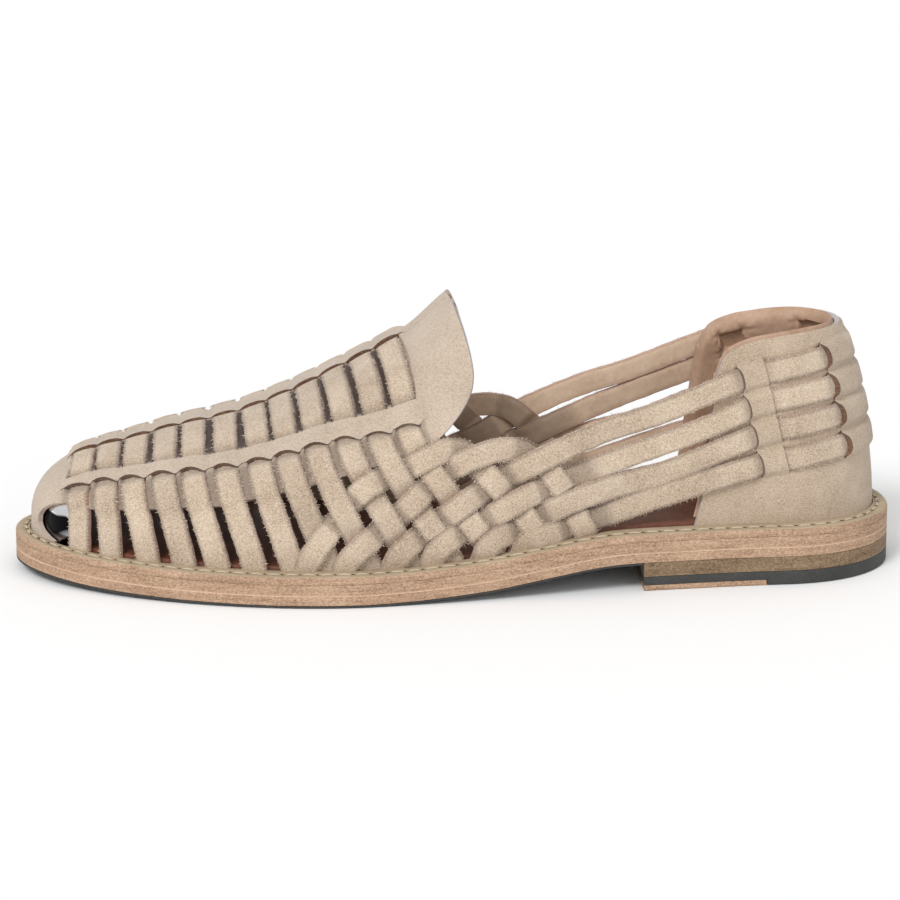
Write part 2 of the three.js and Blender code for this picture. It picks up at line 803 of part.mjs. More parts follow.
const sole = new THREE.Group();
sole.add(
  piece('heel_tip', layerGeometry({
    from: heelTipBack,
    to: heelLength,
    bottom: constant(0),
    top: constant(heelTopThickness),
    stations: stationsBetween(heelTipBack, heelLength, 6),
  }), colours.sole, 0.8),
  piece('heel_rubber', heelRubberGeometry(), colours.rubber, 0.6),
  piece('heel_lift', layerGeometry({
    from: 0,
    to: heelLength,
    bottom: constant(heelTopThickness + heelRubberThickness),
    top: constant(heelHeight),
    stations: stationsBetween(0, heelLength, 16),
  }), colours.lift, 0.8),
  piece('outsole_rubber', layerGeometry({
    from: heelLength + clearance,
    to: shoeLength,
    bottom: (s) => outsoleBottom(s) - gripThickness,
    top: (s) => outsoleBottom(s) - clearance,
  }), colours.rubber, 0.7),
  piece('outsole', layerGeometry({
    from: 0,
    to: shoeLength,
    bottom: outsoleBottom,
    top: (s) => outsoleBottom(s) + outsoleThickness - clearance,
  }), colours.sole, 0.8),
  piece('midsole', layerGeometry({
    from: 0,
    to: shoeLength,
    bottom: (s) => outsoleBottom(s) + outsoleThickness,
    top: midsoleTop,
  }), colours.sole, 0.8),
  piece('welt', weltGeometry(), colours.welt, 0.7),
  piece('insole', layerGeometry({
    from: lastStart + insoleClearance,
    to: lastEnd - insoleClearance,
    sideInset: lastSideInset + insoleClearance,
    endInset: lastEndInset + insoleClearance,
    bottom: (s) => midsoleTop(s) + clearance,
    top: insoleTop,
  }), colours.insole, 0.7),
);

const top = new THREE.Group();
top.add(
  piece('upper', shellGeometry({
    columns: upperColumns.length,
    rows: ridgeLine + 1,
    place: upperPlace,
    filled: upperFilled,
    inner: upperInner,
    outer: upperOuter,
  }), colours.suede, 0.95),
  piece('heel_counter', shellGeometry({
    columns: counterStations.length,
    rows: counterRows,
    place: counterPlace,
    filled: allFilled,
    inner: constant(0),
    outer: constant(counterThickness),
  }), colours.suede, 0.95),
  piece('heel_lining', shellGeometry({
    columns: counterStations.length,
    rows: counterRows,
    place: liningPlace,
    filled: allFilled,
    inner: constant(-clearance - liningThickness),
    outer: constant(-clearance),
  }), colours.taupe, 0.6),
  piece('toe_plate', shellGeometry({
    columns: plateStations.length,
    rows: plateRows,
    place: platePlace,
    filled: allFilled,
    inner: constant(-plateClearance - plateThickness),
    outer: constant(-plateClearance),
  }), colours.metal, 0.1, 1),
);

// The origin stands on the ground under the middle of the sole's box
function widestReach(side) {
  const reaches = stationsBetween(0, shoeLength, 200).map((s) => Math.abs(outlineY(side, s, 0, 0)));
  return Math.max(...reaches);
}

const sandal = new THREE.Group();
sandal.add(sole, top);
sandal.position.y = (widestReach(lateral) - widestReach(medial)) / 2;

export default sandal;
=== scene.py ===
"""Looks of a woven suede huarache for a left foot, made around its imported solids.

Lengths are worked out in millimetres and turned to metres where a mesh is made. A station s runs from 0 at
the back of the heel to the shoe's length at the toe. Across the foot, q runs from -1 at the outer welt line
over 0 on the top centre line to 1 at the inner welt line, and the height number v is 1 - |q|.
"""

import logging
import math
from collections.abc import Callable, Sequence
from dataclasses import dataclass, field
from enum import Enum

import bmesh
import bpy
import numpy as np
from mathutils import Matrix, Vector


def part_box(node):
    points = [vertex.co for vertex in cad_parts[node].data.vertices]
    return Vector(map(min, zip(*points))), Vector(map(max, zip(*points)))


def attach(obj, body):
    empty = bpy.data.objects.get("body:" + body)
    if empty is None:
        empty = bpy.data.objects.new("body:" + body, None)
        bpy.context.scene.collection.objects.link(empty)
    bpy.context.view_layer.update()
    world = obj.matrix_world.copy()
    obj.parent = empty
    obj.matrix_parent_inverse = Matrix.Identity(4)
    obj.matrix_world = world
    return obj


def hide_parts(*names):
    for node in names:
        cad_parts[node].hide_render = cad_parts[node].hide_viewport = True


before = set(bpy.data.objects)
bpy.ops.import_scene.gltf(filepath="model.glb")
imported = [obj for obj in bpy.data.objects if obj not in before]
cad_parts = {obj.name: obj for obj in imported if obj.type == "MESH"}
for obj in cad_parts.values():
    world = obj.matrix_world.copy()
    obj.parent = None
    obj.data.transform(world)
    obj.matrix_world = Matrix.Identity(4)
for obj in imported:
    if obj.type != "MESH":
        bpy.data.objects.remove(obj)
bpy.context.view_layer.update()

LOG = logging.getLogger("huarache")
MM = 0.001
BODY = "root"
CLEARANCE = 0.3

Table = dict[str, Sequence[float]]
Curve = Callable[[np.ndarray], np.ndarray]

# Half widths of the sole along its length, as shares of the ball width
PLAN: Table = {
    "at": (0, 0.15, 0.3, 0.417, 0.55, 0.633, 0.717, 1),
    "lateral": (0.344, 0.355, 0.394, 0.445, 0.495, 0.514, 0.514, 0.514),
    "medial": (0.335, 0.339, 0.321, 0.321, 0.385, 0.454, 0.486, 0.459),
}
# Arch from the heel's front face to the back of the ball, as a share of the heel's height
ARCH: Table = {
    "along": (0, 0.1, 0.2, 0.3, 0.4, 0.54, 0.7, 0.85, 1),
    "lift": (1, 0.97, 0.87, 0.715, 0.55, 0.32, 0.16, 0.05, 0),
}
# Toe spring from the front of the ball to the tip
SPRING: Table = {"along": (0, 0.32, 0.66, 1), "lift": (0, 0.12, 0.39, 1)}
# Top centre line: rise in shares of the instep rise, shift in shares of the ball width, section power
RIDGE: Table = {
    "at": (0, 0.2, 0.333, 0.433, 0.5, 0.55, 0.617, 0.683, 0.75, 0.817, 0.873, 1),
    "rise": (1.187, 1.187, 1.13, 1.06, 0.975, 0.864, 0.73, 0.603, 0.504, 0.442, 0.378, 0.26),
    "shift": (0, 0, 0.012, 0.035, 0.055, 0.066, 0.083, 0.09, 0.092, 0.088, 0.083, 0.046),
    "power": (1.75, 1.9, 2.02, 2.12, 2.2, 2.24, 2.3, 2.36, 2.4, 2.4, 2.4, 2.4),
}
# Cross straps from the toe back: shares of the length where each meets the welt, dives under the side band
# and crosses the top centre line
CROSS_STRAPS: Table = {
    "foot": (0.923, 0.888, 0.847, 0.807, 0.77, 0.73, 0.688, 0.647, 0.603, 0.557, 0.512, 0.465),
    "slit": (0.922, 0.891, 0.861, 0.827, 0.795, 0.758, 0.721, 0.69, 0.658, 0.624, 0.59, 0.558),
    "ridge": (0.915, 0.888, 0.856, 0.824, 0.793, 0.758, 0.725, 0.695, 0.664, 0.635, 0.604, 0.573),
}
# Height of the vamp sheet's lower edge and of the slit row above it
SHEET: Table = {
    "at": (0.53, 0.59, 0.66, 0.73, 0.77, 0.907, 0.925, 0.9377, 0.951, 0.9595, 0.965, 0.968, 0.9688, 1),
    "edge": (0.34, 0.333, 0.327, 0.312, 0.292, 0.293, 0.335, 0.358, 0.365, 0.35, 0.31, 0.228, -0.03, -0.03),
    "slit": (0.435, 0.457, 0.506, 0.516, 0.52, 0.528, 0.505, 0.5, 0.49, 0.48, 0.48, 0.48, 0.48, 0.48),
}
# Upper edge of the sheet's lip under the opening beside the toe
TOE_LIP: Table = {
    "at": (0.952, 0.957, 0.9615, 0.965, 0.9675, 0.9688),
    "height": (0.0, 0.012, 0.035, 0.07, 0.135, 0.228),
}
# Free edge of the tongue
TONGUE: Table = {
    "height": (0.34, 0.347, 0.37, 0.403, 0.443, 0.484, 0.53, 0.59, 0.68, 0.8, 0.933, 1),
    "at": (0.535, 0.528, 0.5145, 0.5015, 0.4915, 0.486, 0.4845, 0.486, 0.4895, 0.494, 0.4977, 0.501),
}
# Side weave and rear straps: station in shares of the length, and height, of points along each strap
WEAVE_PATHS: dict[int, Table] = {
    1: {
        "at": (0.678, 0.673, 0.642, 0.607, 0.573, 0.545, 0.517, 0.498, 0.485, 0.467, 0.443, 0.425, 0.415, 0.413),
        "height": (-0.03, 0.01, 0.15, 0.262, 0.29, 0.298, 0.305, 0.285, 0.24, 0.183, 0.11, 0.056, 0, -0.03),
    },
    2: {
        "at": (0.636, 0.631, 0.593, 0.557, 0.533, 0.515, 0.483, 0.453, 0.432, 0.413, 0.39, 0.373, 0.362, 0.36),
        "height": (-0.03, 0.01, 0.105, 0.176, 0.222, 0.243, 0.262, 0.262, 0.243, 0.2, 0.13, 0.05, 0, -0.03),
    },
    3: {
        "at": (0.582, 0.577, 0.533, 0.503, 0.473, 0.449, 0.392, 0.347, 0.286, 0.219, 0.184, 0.156, 0.11, 0.07, 0.045),
        "height": (-0.03, 0.012, 0.095, 0.136, 0.166, 0.187, 0.223, 0.246, 0.278, 0.333, 0.365, 0.384, 0.405, 0.424,
                   0.434),
    },
    4: {
        "at": (0.538, 0.535, 0.483, 0.44, 0.4, 0.368, 0.287, 0.195, 0.177, 0.149, 0.11, 0.07, 0.045),
        "height": (-0.03, 0.01, 0.078, 0.118, 0.138, 0.15, 0.198, 0.273, 0.292, 0.312, 0.33, 0.345, 0.354),
    },
    5: {
        "at": (0.48, 0.477, 0.437, 0.41, 0.393, 0.333, 0.287, 0.195, 0.169, 0.138, 0.1, 0.065, 0.043),
        "height": (-0.03, 0.01, 0.05, 0.071, 0.084, 0.108, 0.127, 0.202, 0.224, 0.243, 0.26, 0.273, 0.281),
    },
    6: {
        "at": (0.437, 0.432, 0.393, 0.359, 0.323, 0.286, 0.195, 0.162, 0.132, 0.097, 0.061, 0.04),
        "height": (-0.03, 0.006, 0.024, 0.033, 0.05, 0.074, 0.134, 0.154, 0.167, 0.184, 0.196, 0.204),
    },
}
# Rim of the heel counter
RIM: Table = {
    "at": (0.023, 0.07, 0.12, 0.165, 0.187, 0.2, 0.207, 0.211),
    "height": (0.508, 0.502, 0.49, 0.472, 0.452, 0.43, 0.4, 0.37),
}
# How much higher the rear straps run on the inner side, and from where to where that sets in
INNER_RAISE: dict[int, float] = {3: 0.03, 4: 0.045, 5: 0.03, 6: 0.012}
RAISE_FROM, RAISE_TO = 152.0, 78.0


class Side(Enum):
    """Outer and inner side of the foot, with the sign of q there."""

    LATERAL = -1
    MEDIAL = 1


class Face(Enum):
    """Which part of a leather strap or sheet a face belongs to, and its place in the list of finishes."""

    OUTER = 0
    CUT = 1
    INNER = 2
    RIM = 3


def ramp(x: np.ndarray, start: float, end: float) -> np.ndarray:
    """Smooth rise from 0 at start to 1 at end: 3t^2 - 2t^3.

    Args:
        x: Where to read it.
        start: Where it leaves 0.
        end: Where it reaches 1; it may lie before start, and then the rise runs backwards.

    Returns:
        Values from 0 to 1, in the shape of x.
    """
    t = np.clip((np.asarray(x, float) - start) / (end - start), 0, 1)
    return t * t * (3 - 2 * t)


def round_end(t: np.ndarray, power: float) -> np.ndarray:
    """Quarter of a superellipse, (1 - (1 - t)^p)^(1/p), that rises steeply from 0 and levels out at 1."""
    inside = np.clip(1 - np.asarray(t, float), 0, 1)
    return (1 - inside**power) ** (1 / power)


def follow(table: Table, key: str, column: str, x: np.ndarray) -> np.ndarray:
    """Monotone cubic curve through one column of a table; a tangent is the harmonic mean of its two slopes.

    Args:
        table: Columns of equal length.
        key: Name of the rising column.
        column: Name of the column to read.
        x: Where to read it, in the key's units.

    Returns:
        Values in the shape of x.
    """
    xs = np.asarray(table[key], float)
    ys = np.asarray(table[column], float)
    step = np.diff(xs)
    slope = np.diff(ys) / step
    product = slope[:-1] * slope[1:]
    total = np.where(product > 0, slope[:-1] + slope[1:], 1)
    inner = np.where(product > 0, 2 * product / total, 0)
    tangent = np.concatenate([slope[:1], inner, slope[-1:]])
    place = np.clip(np.asarray(x, float), xs[0], xs[-1])
    i = np.clip(np.searchsorted(xs, place, side="right") - 1, 0, len(step) - 1)
    t = (place - xs[i]) / step[i]
    rising = t * t * (3 - 2 * t)
    ends = (1 - rising) * ys[i] + rising * ys[i + 1]
    return ends + step[i] * (t * (1 - t) ** 2 * tangent[i] - t * t * (1 - t) * tangent[i + 1])


def eased(count: int, start: float, end: float) -> np.ndarray:
    """Numbers from start to end that lie close together at both ends, by half a cosine wave."""
    return start + (end - start) * (1 - np.cos(np.pi * np.linspace(0, 1, count))) / 2


def unit(vectors: np.ndarray) -> np.ndarray:
    """Vectors along the last axis, brought to length 1."""
    return vectors / np.maximum(np.linalg.norm(vectors, axis=-1, keepdims=True), 1e-12)


@dataclass
class Last:
    """The foot-shaped form that the leather lies on, with the sole's outline and heights.

    The overall length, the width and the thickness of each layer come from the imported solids; the rest is
    the shoe's own design.
    """

    heel_share: float = field(init=False)
    ball_back: float = 0.607
    ball_front: float = 0.707
    heel_round: float = 40 / 300
    lateral_toe_round: float = 110 / 300
    medial_toe_round: float = 90 / 300
    toe_swing: float = 5.0
    toe_spring: float = 3.3
    instep_rise: float = 78.0
    toe_box: float = 27.0
    toe_box_power: float = 2.9
    ridge_turn: float = 0.15
    side_inset: float = 10.0
    end_inset: float = 7.0
    strap_lean: float = 1.6
    length: float = field(init=False)
    ball_width: float = field(init=False)
    grip: float = field(init=False)
    outsole: float = field(init=False)
    midsole: float = field(init=False)
    welt: float = field(init=False)
    heel_height: float = field(init=False)
    sideways: float = field(init=False)

    def __post_init__(self) -> None:
        """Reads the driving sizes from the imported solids' boxes."""
        low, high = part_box("outsole")
        self.length = (high.x - low.x) / MM
        self.grip = low.z / MM
        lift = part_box("heel_lift")
        self.heel_height = lift[1].z / MM
        self.heel_share = (lift[1].x - lift[0].x) / MM / self.length
        self.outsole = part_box("midsole")[0].z / MM - self.grip
        self.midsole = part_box("welt")[0].z / MM - CLEARANCE - self.grip - self.outsole
        self.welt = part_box("welt")[1].z / MM - self.heel_height - self.outsole - self.midsole
        self.sideways = 0.0
        self.ball_width = 1.0
        stations = eased(2001, 0, self.length)
        toe_free = self.toe_swing
        self.toe_swing = 0.0
        reach = [np.abs(self.outline(side, stations)) for side in Side]
        self.toe_swing = toe_free
        width = (high.y - low.y) / MM
        self.ball_width = width / (reach[0].max() + reach[1].max())
        for _ in range(4):
            sides = [self.outline(side, stations) for side in Side]
            self.ball_width *= width / (sides[1].max() - sides[0].min())
        sides = [self.outline(side, stations) for side in Side]
        self.sideways = -(sides[1].max() + sides[0].min()) / 2

    def toe_centre(self, s: np.ndarray) -> np.ndarray:
        """Middle of the sole across the foot, which swings to the inner side at the toe."""
        return self.toe_swing * ramp(np.asarray(s) / self.length, 0.63, 1)

    def half_width(self, side: Side, s: np.ndarray, sides: float, ends: float) -> np.ndarray:
        """Half width of the sole, drawn in by one amount at the sides and another at the ends."""
        column = "lateral" if side is Side.LATERAL else "medial"
        toe_round = (self.lateral_toe_round if side is Side.LATERAL else self.medial_toe_round) * self.length
        heel_round = self.heel_round * self.length
        width = follow(PLAN, "at", column, s / self.length) * self.ball_width - sides
        heel = round_end((s - ends) / (heel_round - ends), 2.1)
        toe = round_end((self.length - ends - s) / (toe_round - ends), 2.0)
        return width * heel * toe

    def outline(self, side: Side, s: np.ndarray, sides: float = 0.0, ends: float = 0.0) -> np.ndarray:
        """Place of the outline across the foot, before the whole shoe is centred."""
        return self.toe_centre(s) + side.value * self.half_width(side, s, sides, ends)

    def outsole_bottom(self, s: np.ndarray) -> np.ndarray:
        """Underside of the leather outsole: flat at heel and ball, arched between and sprung at the toe."""
        heel, back, front = (share * self.length for share in (self.heel_share, self.ball_back, self.ball_front))
        arch = follow(ARCH, "along", "lift", (s - heel) / (back - heel))
        spring = follow(SPRING, "along", "lift", (s - front) / (self.length - front))
        return self.grip + arch * (self.heel_height - self.grip) + spring * self.toe_spring

    def midsole_top(self, s: np.ndarray) -> np.ndarray:
        """Top of the midsole."""
        return self.outsole_bottom(s) + self.outsole + self.midsole

    def welt_top(self, s: np.ndarray) -> np.ndarray:
        """Top of the welt, where the upper's leather meets the sole."""
        return self.midsole_top(s) + self.welt

    def ridge_rise(self, s: np.ndarray) -> np.ndarray:
        """Height of the top centre line above the welt."""
        drop = round_end((self.length - self.end_inset - s) / self.toe_box, self.toe_box_power)
        return follow(RIDGE, "at", "rise", s / self.length) * self.instep_rise * drop

    def point(self, s: np.ndarray, q: np.ndarray) -> np.ndarray:
        """Points of the last: each section is a quarter superellipse on either side of the top centre line.

        Args:
            s: Stations in millimetres.
            q: Place across the foot; past -1 or 1 the wall goes straight down.

        Returns:
            Points in millimetres, with a last axis of three.
        """
        s, q = np.broadcast_arrays(np.asarray(s, float), np.asarray(q, float))
        s = np.clip(s, self.end_inset, self.length - self.end_inset)
        height = np.clip(1 - np.abs(q), 0, 1)
        below = np.clip(np.abs(q) - 1, 0, None) * self.instep_rise
        foot_y = np.where(
            q < 0,
            self.outline(Side.LATERAL, s, self.side_inset, self.end_inset),
            self.outline(Side.MEDIAL, s, self.side_inset, self.end_inset),
        )
        top_s = np.maximum(s, self.ridge_turn * self.length)
        shift = follow(RIDGE, "at", "shift", top_s / self.length) * self.ball_width
        blend = ramp(self.length - self.end_inset - s, 0, self.toe_box)
        ridge_y = self.toe_centre(top_s) * (1 - blend) + shift * blend
        power = follow(RIDGE, "at", "power", s / self.length)
        angle = height * math.pi / 2
        inward = 1 - np.maximum(np.cos(angle), 0) ** (2 / power)
        upward = np.sin(angle) ** (2 / power)
        ridge_z = self.welt_top(top_s) + self.ridge_rise(top_s)
        x = self.length / 2 - (s + (top_s - s) * inward)
        y = foot_y + (ridge_y - foot_y) * inward + self.sideways
        z = self.welt_top(s) + (ridge_z - self.welt_top(s)) * upward - below
        return np.stack([x, y, z], -1)

    def slopes(self, s: np.ndarray, q: np.ndarray) -> tuple[np.ndarray, np.ndarray]:
        """Change of the point with s and with q, by central differences that shrink towards both ends."""
        s, q = np.broadcast_arrays(np.asarray(s, float), np.asarray(q, float))
        low, high = self.end_inset, self.length - self.end_inset - 0.01
        s = np.clip(s, low, high)
        q = np.clip(q, -0.992, 0.992)
        step = np.clip(0.25 * np.minimum(s - low, high - s), 0.001, 0.4)
        back, ahead = np.clip(s - step, low, high), np.clip(s + step, low, high)
        along = (self.point(ahead, q) - self.point(back, q)) / (ahead - back)[..., None]
        across = (self.point(s, q + 0.004) - self.point(s, q - 0.004)) / 0.008
        return along, across

    def offset(self, s: np.ndarray, q: np.ndarray, lift: np.ndarray) -> np.ndarray:
        """Points that stand off the last by lift millimetres along its normal."""
        along, across = self.slopes(s, q)
        normal = unit(np.cross(across, along))
        return self.point(s, q) + normal * np.asarray(lift, float)[..., None]


@dataclass
class Shape:
    """Points in millimetres, faces as tuples of point numbers, the finish of each face, and a darkness per point:
    painted shade, with some random darkening of the leather.
    """

    points: np.ndarray
    faces: list[tuple[int, ...]]
    finish: np.ndarray
    tone: np.ndarray

    @staticmethod
    def joined(shapes: Sequence["Shape"]) -> "Shape":
        """One shape out of several, which stay apart in it."""
        faces: list[tuple[int, ...]] = []
        start = 0
        for shape in shapes:
            faces.extend(tuple(i + start for i in face) for face in shape.faces)
            start += len(shape.points)
        return Shape(
            np.concatenate([shape.points for shape in shapes]),
            faces,
            np.concatenate([shape.finish for shape in shapes]),
            np.concatenate([shape.tone for shape in shapes]),
        )


def grid_quads(rows: int, columns: int, start: int = 0, closed: bool = False) -> np.ndarray:
    """Quads of a grid of points numbered row by row.

    Args:
        rows: Number of rows of points.
        columns: Number of points in a row.
        start: Number of the first point.
        closed: Whether each row closes on itself.

    Returns:
        Array of quads, four point numbers each.
    """
    i = np.arange(rows - 1)[:, None]
    j = np.arange(columns if closed else columns - 1)[None, :]
    k = (j + 1) % columns
    corners = [i * columns + j, i * columns + k, (i + 1) * columns + k, (i + 1) * columns + j]
    return np.stack(np.broadcast_arrays(*corners), -1).reshape(-1, 4) + start


def tuples(faces: np.ndarray) -> list[tuple[int, ...]]:
    """Rows of an array of point numbers as tuples."""
    return [tuple(face) for face in faces.tolist()]


def swept(sections: np.ndarray, finish: np.ndarray | int = 0, tone: np.ndarray | None = None) -> Shape:
    """Closed solid through rings of points, with a flat face on each end.

    Args:
        sections: Points as (ring, place on the ring, xyz).
        finish: Finish of each strip between neighbouring places on the ring, or one for all.
        tone: Darkness of each point, from 0 to 1: painted shade, with some random darkening of the leather.

    Returns:
        The solid.
    """
    rings, around = sections.shape[:2]
    faces = tuples(grid_quads(rings, around, closed=True))
    strip = np.broadcast_to(np.asarray(finish, int), (around,))
    finishes = np.concatenate([np.tile(strip, rings - 1), [strip[0], strip[0]]])
    last = (rings - 1) * around
    faces += [tuple(range(around)), tuple(range(last, last + around))]
    shade = np.zeros(rings * around) if tone is None else tone.reshape(-1)
    return Shape(sections.reshape(-1, 3), faces, finishes, shade)


def capped(rings: np.ndarray, finish: Sequence[int] | int = 0) -> Shape:
    """Closed solid through rings whose two sides mirror each other, each end closed by strips across.

    Args:
        rings: Points as (ring, place, xyz); place i lies across from place -1 - i.
        finish: Finish of each band between rings, or one for all; the ends take their neighbour's.

    Returns:
        The solid.
    """
    count, around = rings.shape[:2]
    half = around // 2
    i = np.arange(half - 1)
    strip = np.stack([i, i + 1, around - 2 - i, around - 1 - i], -1)
    sides = grid_quads(count, around, closed=True)
    faces = tuples(np.concatenate([sides, strip[:, ::-1], strip + (count - 1) * around]))
    bands = np.broadcast_to(np.asarray(finish, int), (count - 1,))
    finishes = np.concatenate([np.repeat(bands, around), np.full(half - 1, bands[0]), np.full(half - 1, bands[-1])])
    return Shape(rings.reshape(-1, 3), faces, finishes, np.zeros(count * around))


def shell(outer: np.ndarray, inner: np.ndarray, tone: np.ndarray, cut_rows: Sequence[int] = ()) -> Shape:
    """Closed wall between two grids of points, with its four edges closed.

    Args:
        outer: Outer points as (row, column, xyz).
        inner: Inner points, in the same order.
        tone: Darkness of each outer point, as painted shade.
        cut_rows: Rows of outer quads that are cut edges, where a slit opens.

    Returns:
        The wall, with outer, cut, inner and rim finishes.
    """
    rows, columns = outer.shape[:2]
    total = rows * columns
    front = grid_quads(rows, columns)
    back = grid_quads(rows, columns, total)[:, ::-1]
    number = np.arange(total).reshape(rows, columns)
    rim = np.concatenate([number[0, :-1], number[:-1, -1], number[-1, :0:-1], number[:0:-1, 0]])
    after = np.roll(rim, -1)
    walls = np.stack([rim, rim + total, after + total, after], -1)
    outer_finish = np.full((rows - 1, columns - 1), Face.OUTER.value)
    outer_finish[list(cut_rows)] = Face.CUT.value
    finish = np.concatenate([
        outer_finish.reshape(-1),
        np.full(len(back), Face.INNER.value),
        np.full(len(walls), Face.RIM.value),
    ])
    points = np.concatenate([outer.reshape(-1, 3), inner.reshape(-1, 3)])
    return Shape(points, tuples(np.concatenate([front, back, walls])), finish, np.tile(tone.reshape(-1), 2))


def linear(colour: str) -> tuple[float, float, float, float]:
    """Turns a hex sRGB colour such as "c8b49a" into linear red, green, blue and alpha."""
    parts = [int(colour[i:i + 2], 16) / 255 for i in (0, 2, 4)]
    red, green, blue = (c / 12.92 if c <= 0.04045 else ((c + 0.055) / 1.055) ** 2.4 for c in parts)
    return red, green, blue, 1.0


def add_node(tree: bpy.types.NodeTree, kind: str, inputs: dict, **settings: object) -> bpy.types.Node:
    """Adds a node to a tree.

    Args:
        tree: The node tree.
        kind: The node's type name.
        inputs: A value or an output socket for each input, by name or number.
        **settings: Properties of the node.

    Returns:
        The node.
    """
    node = tree.nodes.new(kind)
    for key, value in settings.items():
        setattr(node, key, value)
    for key, value in inputs.items():
        if isinstance(value, bpy.types.NodeSocket):
            tree.links.new(value, node.inputs[key])
        else:
            node.inputs[key].default_value = value
    return node


def new_tree(name: str) -> tuple[bpy.types.Material, bpy.types.NodeTree]:
    """An empty node material and its tree."""
    material = bpy.data.materials.new(name)
    material.use_nodes = True
    material.node_tree.nodes.clear()
    return material, material.node_tree


def grain(tree: bpy.types.NodeTree, size: float, detail: float = 2.0, stretch: Sequence[float] = (1, 1, 1)) -> (
        bpy.types.NodeSocket):
    """Noise in the shoe's own coordinates.

    Args:
        tree: The node tree.
        size: Size of a speck in millimetres.
        detail: Octaves.
        stretch: How much finer it is along x, y and z.

    Returns:
        Socket with values around a half.
    """
    place = add_node(tree, "ShaderNodeTexCoord", {})
    scaled = add_node(tree, "ShaderNodeVectorMath", {0: place.outputs["Object"], 1: stretch}, operation="MULTIPLY")
    noise = add_node(tree, "ShaderNodeTexNoise", {
        "Vector": scaled.outputs[0], "Scale": 1 / (size * MM), "Detail": detail, "Roughness": 0.6,
    })
    return noise.outputs["Fac"]


def blended(tree: bpy.types.NodeTree, parts: Sequence[tuple[bpy.types.NodeSocket, float]]) -> bpy.types.NodeSocket:
    """Sum of noises, each taken about its middle and weighed, around a half."""
    total: bpy.types.NodeSocket | float = 0.5
    for socket, weight in parts:
        centred = add_node(tree, "ShaderNodeMath", {0: socket, 1: 0.5}, operation="SUBTRACT")
        total = add_node(
            tree, "ShaderNodeMath", {0: centred.outputs[0], 1: weight, 2: total}, operation="MULTIPLY_ADD",
        ).outputs[0]
    return total


def three_tones(tree: bpy.types.NodeTree, value: bpy.types.NodeSocket, tones: Sequence[str]) -> (
        bpy.types.NodeSocket):
    """Colour that runs through three tones as the value goes from 0 over a half to 1."""
    ramp_node = add_node(tree, "ShaderNodeValToRGB", {"Fac": value})
    stops = ramp_node.color_ramp
    stops.elements[0].position, stops.elements[0].color = 0.1, linear(tones[0])
    stops.elements[1].position, stops.elements[1].color = 0.9, linear(tones[2])
    stops.elements.new(0.5).color = linear(tones[1])
    return ramp_node.outputs["Color"]


def shaded(tree: bpy.types.NodeTree, colour: bpy.types.NodeSocket, dark: str) -> bpy.types.NodeSocket:
    """Colour that turns to a dark one where the mesh's point attribute is high: painted shade, with some random
    darkening of the leather besides.
    """
    tone = add_node(tree, "ShaderNodeAttribute", {}, attribute_name="tone")
    mixed = add_node(
        tree, "ShaderNodeMix", {0: tone.outputs["Fac"], 6: colour, 7: linear(dark)}, data_type="RGBA",
    )
    return mixed.outputs[2]


@dataclass(frozen=True)
class Suede:
    """Napped leather: speckled, matt and fibrous."""

    name: str
    tones: tuple[str, str, str]
    # Colour that painted shade darkens the suede towards.
    dark: str = "3a281e"
    speck: float = 0.5
    contrast: float = 1.0
    relief: float = 0.1

    def material(self) -> bpy.types.Material:
        """Builds the node material.

        Returns:
            The material, with specks, soft clouds, a nap in relief and a little sheen.
        """
        material, tree = new_tree(self.name)
        specks = grain(tree, self.speck, 3)
        nap = grain(tree, self.speck * 2.4, 4, (1, 1, 1.6))
        clouds = grain(tree, 14, 2)
        value = blended(tree, [(specks, 1.5 * self.contrast), (nap, 0.9 * self.contrast), (clouds, 0.5)])
        colour = shaded(tree, three_tones(tree, value, self.tones), self.dark)
        height = blended(tree, [(specks, 1.2), (nap, 1.0)])
        bump = add_node(tree, "ShaderNodeBump", {"Height": height, "Strength": 0.9, "Distance": self.relief * MM})
        shader = add_node(tree, "ShaderNodeBsdfPrincipled", {
            "Base Color": colour, "Roughness": 0.95, "Normal": bump.outputs[0], "Sheen Weight": 0.25,
            "Sheen Roughness": 0.6, "Specular IOR Level": 0.15,
        })
        add_node(tree, "ShaderNodeOutputMaterial", {"Surface": shader.outputs[0]})
        return material


@dataclass(frozen=True)
class SmoothLeather:
    """Grain side of leather: fine pores, faint clouds and a low gloss."""

    name: str
    tones: tuple[str, str, str]
    # Colour that painted shade darkens this leather towards, on the straps' and sheet's inner faces.
    dark: str = "2a1c14"
    roughness: float = 0.55
    pore: float = 0.35
    relief: float = 0.03
    stretch: tuple[float, float, float] = (1, 1, 1)
    contrast: float = 1.0

    def material(self) -> bpy.types.Material:
        """Builds the node material.

        Returns:
            The material, with pores in relief and clouds in colour.
        """
        material, tree = new_tree(self.name)
        pores = grain(tree, self.pore, 2, self.stretch)
        bands = grain(tree, 2.2, 3, self.stretch)
        clouds = grain(tree, 18, 3)
        value = blended(tree, [
            (pores, 0.5 * self.contrast), (bands, 0.7 * self.contrast), (clouds, 0.9 * self.contrast),
        ])
        colour = shaded(tree, three_tones(tree, value, self.tones), self.dark)
        bump = add_node(tree, "ShaderNodeBump", {"Height": pores, "Strength": 0.5, "Distance": self.relief * MM})
        shader = add_node(tree, "ShaderNodeBsdfPrincipled", {
            "Base Color": colour, "Roughness": self.roughness, "Normal": bump.outputs[0],
            "Specular IOR Level": 0.35,
        })
        add_node(tree, "ShaderNodeOutputMaterial", {"Surface": shader.outputs[0]})
        return material


